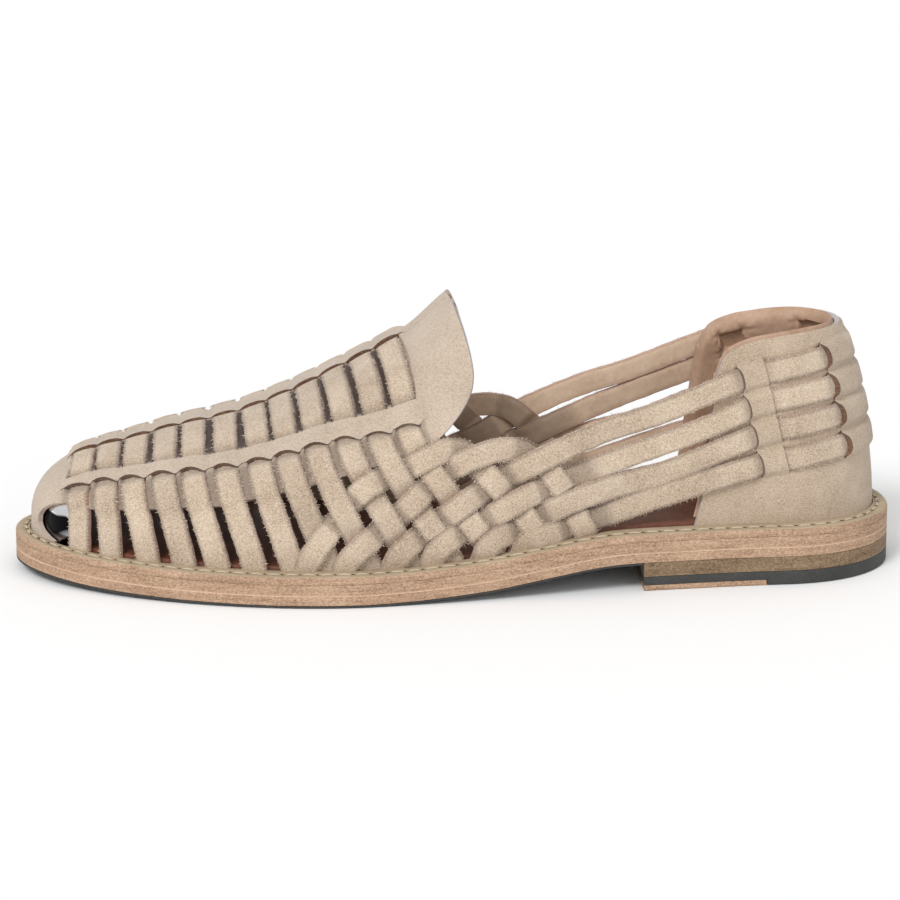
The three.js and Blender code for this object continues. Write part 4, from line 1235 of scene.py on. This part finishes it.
@dataclass
class HeelCounter:
    """Suede heel counter: front band and back band rise over the rear straps at their slits."""

    last: Last
    straps: StrapWork
    thickness: float = 1.8
    bulge: float = 1.6
    curl: float = 0.5
    press: float = 0.3
    dip: float = 1.4
    bump_width: float = 4.15
    back: float = 7.0
    rows: int = 90
    columns: tuple[int, int, int, int] = (22, 14, 24, 22)

    def strap_middles(self, s: np.ndarray, side: Side) -> list[np.ndarray]:
        """Height of each rear strap's middle at the given stations of one side."""
        middles = []
        for k in (3, 4, 5, 6):
            path = self.straps.weave[k, side.value].path
            order = np.argsort(path[:, 0])
            middles.append(np.interp(s, path[order, 0], 1 - np.abs(path[order, 1])))
        return middles

    def grid(self, bottom: float, rim_drop: float, setback: float) -> tuple[np.ndarray, ...]:
        """Stations, heights, zone and share of a grid from the front edge round to the back.

        Args:
            bottom: Height of the lowest row.
            rim_drop: How far the top row stays below the rim.
            setback: How far the front edge is drawn in, in millimetres.

        Returns:
            Arrays of s, v, zone number and share within the zone.
        """
        zones = [(z, i / n) for z, n in enumerate(self.columns) for i in range(n + 1)]
        zone = np.array([z for z, _ in zones])[None, :]
        part = np.array([p for _, p in zones])[None, :]
        g = np.linspace(0, 1, self.rows)[:, None]
        v = np.broadcast_to(g * 0.45, (self.rows, len(zones))).copy()
        s = np.zeros_like(v)
        for _ in range(14):
            front, slit, behind, back = counter_lines(np.clip(v, 0, 0.6))
            stops = np.stack([front - setback, slit, behind, back, np.full_like(v, self.back)])
            low = np.take_along_axis(stops, np.broadcast_to(zone[None], (1,) + v.shape), 0)[0]
            high = np.take_along_axis(stops, np.broadcast_to(zone[None] + 1, (1,) + v.shape), 0)[0]
            s = low + (high - low) * part
            rim = follow(RIM, "at", "height", s / self.last.length) - rim_drop
            v = 0.4 * v + 0.6 * (bottom + (rim - bottom) * g)
        return s, v, np.broadcast_to(zone, v.shape), np.broadcast_to(part, v.shape)

    def over_straps(self, s: np.ndarray, v: np.ndarray, side: Side) -> tuple[np.ndarray, np.ndarray]:
        """How far each point lies over a rear strap, and the distance to the nearest strap's middle."""
        grow_s, grow_q = self.last.slopes(s, 1 - v)
        scale = np.linalg.norm(grow_q, axis=-1)
        nearest = np.full(s.shape, 99.0)
        for middle in self.strap_middles(s, side):
            away = (v - middle) * scale
            nearest = np.where(np.abs(away) < np.abs(nearest), away, nearest)
        return np.exp(-(np.abs(nearest) / self.bump_width) ** 8), nearest

    @staticmethod
    def round_the_back(outer_side: np.ndarray, inner_side: np.ndarray) -> np.ndarray:
        """A grid of the outer side carried on round the back to the inner side."""
        return np.concatenate([outer_side, inner_side[:, ::-1][:, 1:]], 1)

    def make(self, shop: Shop, finishes: Finishes) -> None:
        """Builds the counter."""
        halves = []
        for side in Side:
            s, v, zone, part = self.grid(-0.02, 0.0, 0.0)
            over, away = self.over_straps(s, v, side)
            band = (zone == 1) | (zone == 3)
            reach = np.where(zone == 0, 1 - part, np.minimum(part, 1 - part)) * np.where(zone == 0, 14, 22)
            dipping = 1 - ramp(reach, 0, 3)
            lip = np.where(zone == 1, (1 - part) ** 3, np.where(zone == 3, 1.8 * (1 - part) ** 6, 0))
            rise = np.where(
                band, (self.bulge + self.curl * lip) * over, -self.press * over - self.dip * over * dipping,
            )
            set_back = np.where(zone == 3, 0.95 * (1 - part) ** 4, np.where(zone == 1, 0.9 * (1 - part) ** 4, 0))
            sag = np.where(zone < 2, 0.7, 1.5) * (away / 4.2) ** 2 * np.exp(-(np.abs(away) / 4.8) ** 8)
            near = np.where(zone == 0, part**4, np.where(zone == 1, (1 - part) ** 2, 0))
            near = near + np.where(zone == 2, part**6, np.where(zone == 3, (1 - part) ** 3, 0))
            halves.append((s + sag * near - set_back * over, side.value * (1 - v), rise, np.abs(away)))
        s, q, rise, away = (self.round_the_back(a, b) for a, b in zip(*halves))
        outer = self.last.offset(s, q, rise + self.thickness)
        inner = self.last.offset(s, q, rise)
        shape = shell(
            outer.transpose(1, 0, 2), inner.transpose(1, 0, 2), np.zeros(s.T.shape), self.cut_columns(len(zone[0])),
        )
        dress = (finishes.counter, finishes.slit, finishes.taupe, finishes.edge_paint)
        shop.piece("heel_counter_leather", shape, dress, ["heel_counter"])

    def cut_columns(self, n: int) -> list[int]:
        """Numbers of the strips between doubled columns, where slits open."""
        ends = np.cumsum([c + 1 for c in self.columns])[:-1] - 1
        return [int(e) for e in ends] + [2 * n - 3 - int(e) for e in ends]


@dataclass
class HeelLining:
    """Padded lining of the heel, drawn in round windows where the rear straps show."""

    counter: HeelCounter
    depth: float = 3.3
    puff: float = 1.1
    window_half: float = 3.4
    tuck: float = 0.35

    def make(self, shop: Shop, finishes: Finishes) -> bpy.types.Object:
        """Builds the lining, whose thin floor in each window stands for the inner face of the strap there.

        Returns:
            The lining's object.
        """
        last = self.counter.last
        halves = []
        for side in Side:
            s, v, zone, part = self.counter.grid(0.02, -0.013, -0.9)
            away = self.counter.over_straps(s, v, side)[1]
            outward = np.select(
                [zone == 0, zone == 1, zone == 2],
                [(1 - part) * 14, -np.minimum(part, 1 - part) * 9, np.minimum(part, 1 - part) * 22], -part * 11,
            )
            sideways = np.abs(away) - self.window_half
            hole = ramp(-outward, 0.2, 1.0) * ramp(-sideways, -0.3, 0.5)
            rim = follow(RIM, "at", "height", s / last.length)
            from_rim, from_front = (rim - v) * 75 + 1.0, s[:, :1] - s
            rounded = np.sqrt(np.clip(1 - (1 - np.clip(np.minimum(from_rim, from_front) / 3.4, 0, 1)) ** 2, 0, 1))
            reach = np.hypot(outward, sideways)
            turn = np.arctan2(sideways, outward)
            corner = np.exp(-(reach / 1.5) ** 2)
            rays = self.tuck * np.cos(turn * 6) * np.exp(-(reach / 4.2) ** 2) * (1 - corner)
            depth = 0.4 + (self.depth + self.puff - 0.4 - 1.0 * corner - rays) * rounded
            depth = depth * (1 - hole) + 1.9 * hole
            halves.append((s, side.value * (1 - v), np.maximum(depth, 0.45)))
        full_s, full_q, full_depth = (self.counter.round_the_back(a, b) for a, b in zip(*halves))
        outer = last.offset(full_s, full_q, np.full(full_s.shape, -CLEARANCE))
        inner = last.offset(full_s, full_q, -full_depth)
        flip = (1, 0, 2)
        shape = shell(outer.transpose(flip), inner.transpose(flip), np.zeros(full_s.shape).T)
        shape.finish[:] = 0
        obj = shop.piece("heel_lining_pad", shape, (finishes.lining,), ["heel_lining"], 60)
        return obj


@dataclass
class Sole:
    """Welt, midsole, outsole and stacked heel, all cut to one outline."""

    last: Last
    count: int = 110
    heel_length: float = field(init=False)
    tip_length: float = field(init=False)
    stitch_inset: float = 3.6
    stitch_pitch: float = 5.8

    def __post_init__(self) -> None:
        """Reads the heel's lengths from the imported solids."""
        lift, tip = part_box("heel_lift"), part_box("heel_tip")
        self.heel_length = (lift[1].x - lift[0].x) / MM
        self.tip_length = (tip[1].x - tip[0].x) / MM

    def loop(self, inset: float, height: Curve, start: float = 0.0, end: float | None = None,
             side_inset: float | None = None) -> np.ndarray:
        """A closed line round the sole.

        Args:
            inset: How far it is drawn in from the outline's ends, and from its sides unless told otherwise.
            height: Height of the line at each station.
            start: Station where the piece starts; past 0 it starts with a straight face.
            end: Station where it ends, or None for the toe.
            side_inset: How far it is drawn in at the sides.

        Returns:
            Points of the outer side from start to end, and of the inner side back again.
        """
        last = self.last
        low = start + inset
        high = (last.length if end is None else end) - inset
        s = eased(self.count, low, high)
        sides = inset if side_inset is None else side_inset
        ends = inset
        lateral = last.outline(Side.LATERAL, s, sides, ends)
        medial = last.outline(Side.MEDIAL, s, sides, ends)
        x = last.length / 2 - s
        z = height(s)
        outer = np.stack([x, lateral + last.sideways, z], -1)
        inner = np.stack([x, medial + last.sideways, z], -1)
        return np.concatenate([outer, inner[::-1]])

    def layer(self, bottom: Curve, top: Curve, start: float = 0.0, end: float | None = None, soft: float = 0.35,
              finish: Sequence[int] | int = 0) -> Shape:
        """A layer with softened edges between two heights."""
        def at(share: float, drop: float) -> Curve:
            """Height at a share of the layer's thickness, moved up by a fixed amount."""
            return lambda s: bottom(s) * (1 - share) + top(s) * share + drop

        rings = [
            self.loop(soft, at(0, 0), start, end), self.loop(0.1 * soft, at(0, 0.35 * soft), start, end),
            self.loop(0, at(0, soft), start, end), self.loop(0, at(1, -soft), start, end),
            self.loop(0.1 * soft, at(1, -0.35 * soft), start, end), self.loop(soft, at(1, 0), start, end),
        ]
        return capped(np.stack(rings), finish)

    def welt_shape(self) -> Shape:
        """The welt: rounded outer edge, a sewn groove, and an inner edge against the upper."""
        last = self.last
        low = lambda s: last.midsole_top(s) + 0.05
        profile = [
            (9.6, 9.6, 0.0), (0.08, 0.08, 0.0), (0.0, 0.0, 0.1), (0.0, 0.0, 1.5), (0.12, 0.12, 1.95), (0.5, 0.5, 2.4),
            (1.0, 1.0, 2.62), (1.7, 1.7, 2.7), (self.stitch_inset - 0.9, self.stitch_inset - 0.9, 2.72),
            (self.stitch_inset - 0.35, self.stitch_inset - 0.35, 2.45), (self.stitch_inset, self.stitch_inset, 2.36),
            (self.stitch_inset + 0.35, self.stitch_inset + 0.35, 2.45), (4.5, 4.6, 2.72), (4.75, 7.9, 2.72),
            (4.95, 9.6, 2.4),
        ]
        profile[0] = (4.95, 9.6, 0.0)
        rings = []
        for ends, sides, rise in profile:
            rings.append(self.loop(ends, lambda s, r=rise: low(s) + r * self.last.welt / 2.7, side_inset=sides))
        stack = np.stack(rings + [rings[0]])
        count, around = stack.shape[:2]
        faces = tuples(grid_quads(count, around, closed=True))
        finish = np.repeat([1, 1, 1, 1, 1] + [0] * (count - 6), around)
        points = stack.reshape(-1, 3)
        return Shape(points, faces, finish, np.zeros(len(points)))

    def stitch_line(self) -> tuple[np.ndarray, np.ndarray, np.ndarray]:
        """Points along the stitching and its direction, a stitch apart, and the surface height there."""
        ring = self.loop(self.stitch_inset, self.last.welt_top)
        closed = np.concatenate([ring, ring[:1]])
        length = np.concatenate([[0], np.cumsum(np.linalg.norm(np.diff(closed, axis=0), axis=1))])
        number = int(length[-1] / self.stitch_pitch)
        at = np.arange(number) * length[-1] / number
        here = np.stack([np.interp(at, length, closed[:, k]) for k in range(3)], -1)
        ahead = np.stack([np.interp((at + 1.5) % length[-1], length, closed[:, k]) for k in range(3)], -1)
        return here, unit(ahead - here), at

    def stitches(self) -> tuple[Shape, Shape]:
        """The welt's stitches, lying in the groove, and dark lens shapes between them, painted shade standing for the
        stitch holes.
        """
        here, along, _ = self.stitch_line()
        side = unit(np.cross(along, [0.0, 0.0, 1.0]))
        up = np.cross(side, along)
        t = np.linspace(-1, 1, 9)
        radius = 0.52 * np.sqrt(np.clip(1 - np.abs(t) ** 5, 0, 1)) + 0.05
        angle = np.arange(8) * math.pi / 4
        noise = np.random.default_rng(3)
        threads, holes = [], []
        for p, a, b, c in zip(here, along, side, up):
            middle = p + a * self.stitch_pitch / 2 - c * 0.12
            turn = noise.normal(0, 0.07)
            lean = unit(a + b * (0.1 + turn))
            spine = middle + lean * (t * 1.95)[:, None] + c * (0.22 * (1 - t * t))[:, None]
            ring = b * np.cos(angle)[:, None] * 0.85 + c * np.sin(angle)[:, None] * 0.6
            threads.append(swept(spine[:, None] + ring[None] * radius[:, None, None]))
            flat = np.linspace(-1, 1, 5)
            wide = 0.62 * np.sqrt(np.clip(1 - flat * flat, 0.02, 1))
            lens = p + unit(a + b * 0.9) * (flat * 0.95)[:, None] - c * 0.12
            hole_ring = b * np.cos(angle)[:, None] + c * np.sin(angle)[:, None] * 0.45
            holes.append(swept(lens[:, None] + hole_ring[None] * wide[:, None, None]))
        return Shape.joined(threads), Shape.joined(holes)

    def make(self, shop: Shop, finishes: Finishes) -> None:
        """Builds every layer of the sole."""
        last = self.last
        bottom = last.outsole_bottom
        heel_top = lambda s: np.full_like(s, last.heel_height)
        rubber_low, rubber_high = (corner.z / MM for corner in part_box("heel_rubber"))
        tip_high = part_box("heel_tip")[1].z / MM
        flat = lambda z: (lambda s: np.full_like(s, z))
        edge = (finishes.sole, finishes.under, finishes.seam)
        mid_low = lambda s: bottom(s) + last.outsole - 0.06
        midsole = self.layer(mid_low, lambda s: last.midsole_top(s) + 0.02, soft=0.16, finish=[2, 2, 0, 0, 0])
        shop.piece("midsole_leather", midsole, edge, ["midsole"])
        outsole = self.layer(bottom, lambda s: bottom(s) + last.outsole - 0.06, soft=0.34, finish=[1, 0, 0, 2, 2])
        shop.piece("outsole_leather", outsole, edge, ["outsole"])
        grip = self.layer(
            lambda s: bottom(s) - last.grip, lambda s: bottom(s) - 0.04, self.heel_length + CLEARANCE, soft=0.2,
        )
        shop.piece("grip_rubber", grip, (finishes.rubber,), ["outsole_rubber"])
        lift = self.layer(flat(rubber_high), heel_top, 0, self.heel_length, 0.25)
        shop.piece("heel_lift_leather", lift, (finishes.lift,), ["heel_lift"])
        tip_back = self.heel_length - self.tip_length
        slab = self.layer(flat(tip_high), flat(rubber_high), 0, self.heel_length, 0.25)
        back = self.layer(flat(rubber_low), flat(rubber_high - 0.6), 0, tip_back - CLEARANCE, 0.3)
        rubber = Shape.joined([slab, back])
        shop.piece("heel_rubber_layer", rubber, (finishes.rubber,), ["heel_rubber"])
        tip = self.layer(flat(0.0), flat(tip_high - 0.05), tip_back, self.heel_length, 0.25, finish=[1, 0, 0, 0, 0])
        shop.piece("heel_tip_leather", tip, edge, ["heel_tip"])
        shop.piece("welt_leather", self.welt_shape(), (finishes.welt, finishes.sole), ["welt"], 60)
        threads, holes = self.stitches()
        shop.piece("welt_stitching", threads, (finishes.thread,), ["welt"])
        shop.piece("stitch_holes", holes, (finishes.hole,), ["welt"])
        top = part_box("insole")
        thick = 3.3
        rings = []
        for inset, rise in ((0.9, 0.0), (0.6, 0.3), (0.6, thick - 0.9), (0.9, thick - 0.25), (1.9, thick), (6, thick - 0.1)):
            height = lambda s, r=rise: last.midsole_top(s) + CLEARANCE + r
            ends = last.end_inset + inset
            rings.append(self.loop(ends, height, side_inset=last.side_inset + inset))
        shop.piece("insole_leather", capped(np.stack(rings)), (finishes.insole,), ["insole"])
        LOG.info("insole node reaches %.1f mm", top[1].z / MM)


@dataclass
class ToePlate:
    """Polished metal plate inside the toe, seen through the opening beside the toe tab."""

    last: Last
    back_share: float = 0.663
    low: float = -1.2
    high: float = 15.0
    outer: float = -0.5
    thickness: float = 1.0

    def make(self, shop: Shop, finishes: Finishes) -> None:
        """Builds the plate as a band of even height round the toe."""
        last = self.last
        end = last.length - last.end_inset
        start = end - self.back_share * last.toe_box
        s = start + (end - 0.05 - start) * np.sin(np.linspace(0, 1, 60) * math.pi / 2)
        rise = np.linspace(self.low, self.high, 22)[:, None]
        ridge = np.maximum(last.ridge_rise(s), 1e-6)[None, :]
        power = follow(RIDGE, "at", "power", s / last.length)[None, :]
        share = np.clip(np.minimum(rise, ridge) / ridge, 0, 1)
        v = np.arcsin(np.maximum(share, 0) ** (power / 2)) * 2 / math.pi + np.minimum(rise, 0) / last.instep_rise
        s = np.broadcast_to(s, v.shape)
        q = -(1 - v)
        s, q = np.concatenate([s, s[:, ::-1]], 1), np.concatenate([q, -q[:, ::-1]], 1)
        shape = shell(
            last.offset(s, q, np.full(s.shape, self.outer)),
            last.offset(s, q, np.full(s.shape, self.outer - self.thickness)), np.zeros(s.shape),
        )
        shape.finish[:] = 0
        shop.piece("toe_plate_metal", shape, (finishes.chrome,), ["toe_plate"], 50)


@dataclass
class Trims:
    """Small parts: painted tongue edge, plain patch under the tongue, and loose fibres on strap edges."""

    last: Last
    work: StrapWork
    fibres: int = 12000

    def tongue_edge(self) -> Shape:
        """A thin painted bead along the tongue's cut edge."""
        v = np.concatenate([np.linspace(0.35, 1, 90), np.linspace(1, 0.35, 90)[1:]])
        sign = np.concatenate([np.full(90, -1.0), np.full(89, 1.0)])
        s = follow(TONGUE, "height", "at", v) * self.last.length
        q = sign * (1 - v)
        ring = []
        for back, lift in ((0.25, 0.05), (-0.15, 0.02), (-0.32, 0.5), (-0.32, 1.3), (-0.15, 1.82), (0.25, 1.86)):
            ring.append(self.last.offset(s + back, q, np.full(s.shape, lift)))
        return swept(np.stack(ring, 1))

    def patch(self) -> Shape:
        """A plain dark patch on the tongue's underside near its tip."""
        s = np.linspace(152.5, 163, 10)[:, None] + np.zeros((1, 24))
        q = np.linspace(-0.17, 0.17, 24)[None, :] + np.zeros((10, 1))
        top = self.last.offset(s, q, np.full(s.shape, -0.05))
        low = self.last.offset(s, q, np.full(s.shape, -0.6))
        return shell(top, low, np.zeros(s.shape))

    def fuzz(self) -> Shape:
        """Fine tapered fibres that stand out of the straps' cut edges."""
        noise = np.random.default_rng(11)
        straps = self.work.cross + list(self.work.weave.values())
        total = sum(strap.along[-1] for strap in straps)
        bases, ways, sizes = [], [], []
        for strap in straps:
            points = strap.shape().points.reshape(len(strap.along), 18, 3)
            number = int(self.fibres * strap.along[-1] / total)
            row = noise.integers(3, len(strap.along) - 3, number)
            front = noise.random(number) < 0.5
            edge = np.where(front, 11, 3)
            other = np.where(front, 12, 2)
            mix = noise.random(number)[:, None]
            base = points[row, edge] * mix + points[row, other] * (1 - mix)
            middle = points[row, 7]
            out = unit(base - middle)
            along = unit(points[row + 1, 7] - points[row - 1, 7])
            lifted = unit(np.cross(out, along))
            way = unit(out + along * noise.normal(0, 0.8, number)[:, None] + lifted * noise.normal(0, 0.3, number)[:, None])
            bases.append(base)
            ways.append(way)
            sizes.append(np.abs(noise.normal(0.35, 0.4, number)) + 0.2)
        base, way, size = np.concatenate(bases), np.concatenate(ways), np.concatenate(sizes)[:, None]
        side = unit(np.cross(way, noise.normal(0, 1, way.shape)))
        other = np.cross(way, side)
        thick = 0.1
        corners = [base - way * 0.1 + (side * math.cos(a) + other * math.sin(a)) * thick for a in (0, 2.1, 4.2)]
        points = np.stack(corners + [base + way * size], 1).reshape(-1, 3)
        start = np.arange(len(base))[:, None] * 4
        faces = np.concatenate([start + f for f in ([0, 1, 3], [1, 2, 3], [2, 0, 3], [2, 1, 0])])
        return Shape(points, tuples(faces), np.zeros(len(faces), int), np.zeros(len(points)))

    def make(self, shop: Shop, finishes: Finishes) -> None:
        """Builds the trims."""
        shop.piece("tongue_edge", self.tongue_edge(), (finishes.edge_paint,), ["upper"])
        patch = self.patch()
        patch.finish[:] = 0
        shop.piece("tongue_patch", patch, (finishes.patch,), ["upper"])
        shop.piece("strap_fibres", self.fuzz(), (finishes.nap,), ["upper"])


def facing(place: np.ndarray, back: np.ndarray) -> Matrix:
    """Placement of a lamp or camera.

    Args:
        place: Where it stands, in metres.
        back: Direction from what it looks at to itself.

    Returns:
        Its matrix, with its own z along back.
    """
    z = unit(np.asarray(back, float))
    x = unit(np.cross([0.0, 0.0, 1.0], z))
    matrix = np.eye(4)
    matrix[:3, 0], matrix[:3, 1], matrix[:3, 2], matrix[:3, 3] = x, np.cross(z, x), z, place
    return Matrix(matrix.tolist())


@dataclass
class Studio:
    """Pale floor, soft lights and the camera at the photograph's angle."""

    azimuth: float = -4.0
    elevation: float = 14.5
    distance: float = 1300.0
    target: tuple[float, float, float] = (-1.5, -3.3, 40.0)
    lens: float = 152.4

    def camera(self) -> None:
        """Places the camera."""
        turn, rise = math.radians(self.azimuth), math.radians(self.elevation)
        back = np.array([math.sin(turn), -math.cos(turn), 0]) * math.cos(rise) + np.array([0, 0, math.sin(rise)])
        place = (np.array(self.target) + back * self.distance) * MM
        data = bpy.data.cameras.new("studio_camera")
        data.lens = self.lens
        data.sensor_width = 36
        data.sensor_fit = "HORIZONTAL"
        data.clip_start, data.clip_end = 0.05, 50
        data.dof.use_dof = False
        data.shift_x = 0.0
        obj = bpy.data.objects.new("studio_camera", data)
        bpy.context.scene.collection.objects.link(obj)
        obj.matrix_world = facing(place, back)
        bpy.context.scene.camera = obj

    def lamp(self, name: str, place: Sequence[float], spread: float, power: float) -> None:
        """A far soft light, as wide as its spread in degrees, that shines evenly over shoe and floor."""
        data = bpy.data.lights.new(name, "SUN")
        data.angle, data.energy = math.radians(spread), power
        obj = bpy.data.objects.new(name, data)
        bpy.context.scene.collection.objects.link(obj)
        obj.matrix_world = facing(np.array(place), np.array(place))

    def build(self) -> None:
        """Makes the floor, the world, the lights and the camera."""
        self.camera()
        mesh = bpy.data.meshes.new("studio_floor")
        far = 9.0
        mesh.from_pydata([(-far, -far, -0.0002), (far, -far, -0.0002), (far, far, -0.0002), (-far, far, -0.0002)],
                         [], [(0, 1, 2, 3)])
        material, tree = new_tree("studio_floor")
        shader = add_node(tree, "ShaderNodeBsdfPrincipled", {"Base Color": linear("f4f4f4"), "Roughness": 0.9})
        add_node(tree, "ShaderNodeOutputMaterial", {"Surface": shader.outputs[0]})
        mesh.materials.append(material)
        floor = bpy.data.objects.new("studio_floor", mesh)
        bpy.context.scene.collection.objects.link(floor)
        world = bpy.data.worlds.new("studio_world")
        world.use_nodes = True
        world.node_tree.nodes.clear()
        back = add_node(world.node_tree, "ShaderNodeBackground", {"Color": linear("ffffff"), "Strength": 0.62})
        add_node(world.node_tree, "ShaderNodeOutputWorld", {"Surface": back.outputs[0]})
        bpy.context.scene.world = world
        self.lamp("key_light", (-0.8, -1.2, 1.3), 20, 1.75)
        self.lamp("front_light", (0.3, -2.0, 0.75), 50, 0.65)
        self.lamp("top_light", (0.3, 0.5, 2.0), 60, 0.2)
        bpy.context.scene.view_settings.view_transform = "Standard"
        bpy.context.scene.view_settings.look = "None"


def main() -> None:
    """Builds the shoe and its studio in order."""
    logging.basicConfig(level=logging.INFO, format="%(name)s: %(message)s")
    Studio().build()
    last = Last()
    LOG.info("length %.1f, ball %.1f, welt %.2f", last.length, last.ball_width, last.welt)
    shop, finishes = Shop(), Finishes()
    straps = StrapWork(last)
    straps.lay_out()
    straps.make(shop, finishes)
    VampSheet(last, straps).make(shop, finishes)
    counter = HeelCounter(last, straps)
    counter.make(shop, finishes)
    HeelLining(counter).make(shop, finishes)
    Sole(last).make(shop, finishes)
    ToePlate(last).make(shop, finishes)
    Trims(last, straps).make(shop, finishes)


if __name__ == "__main__":
    main()
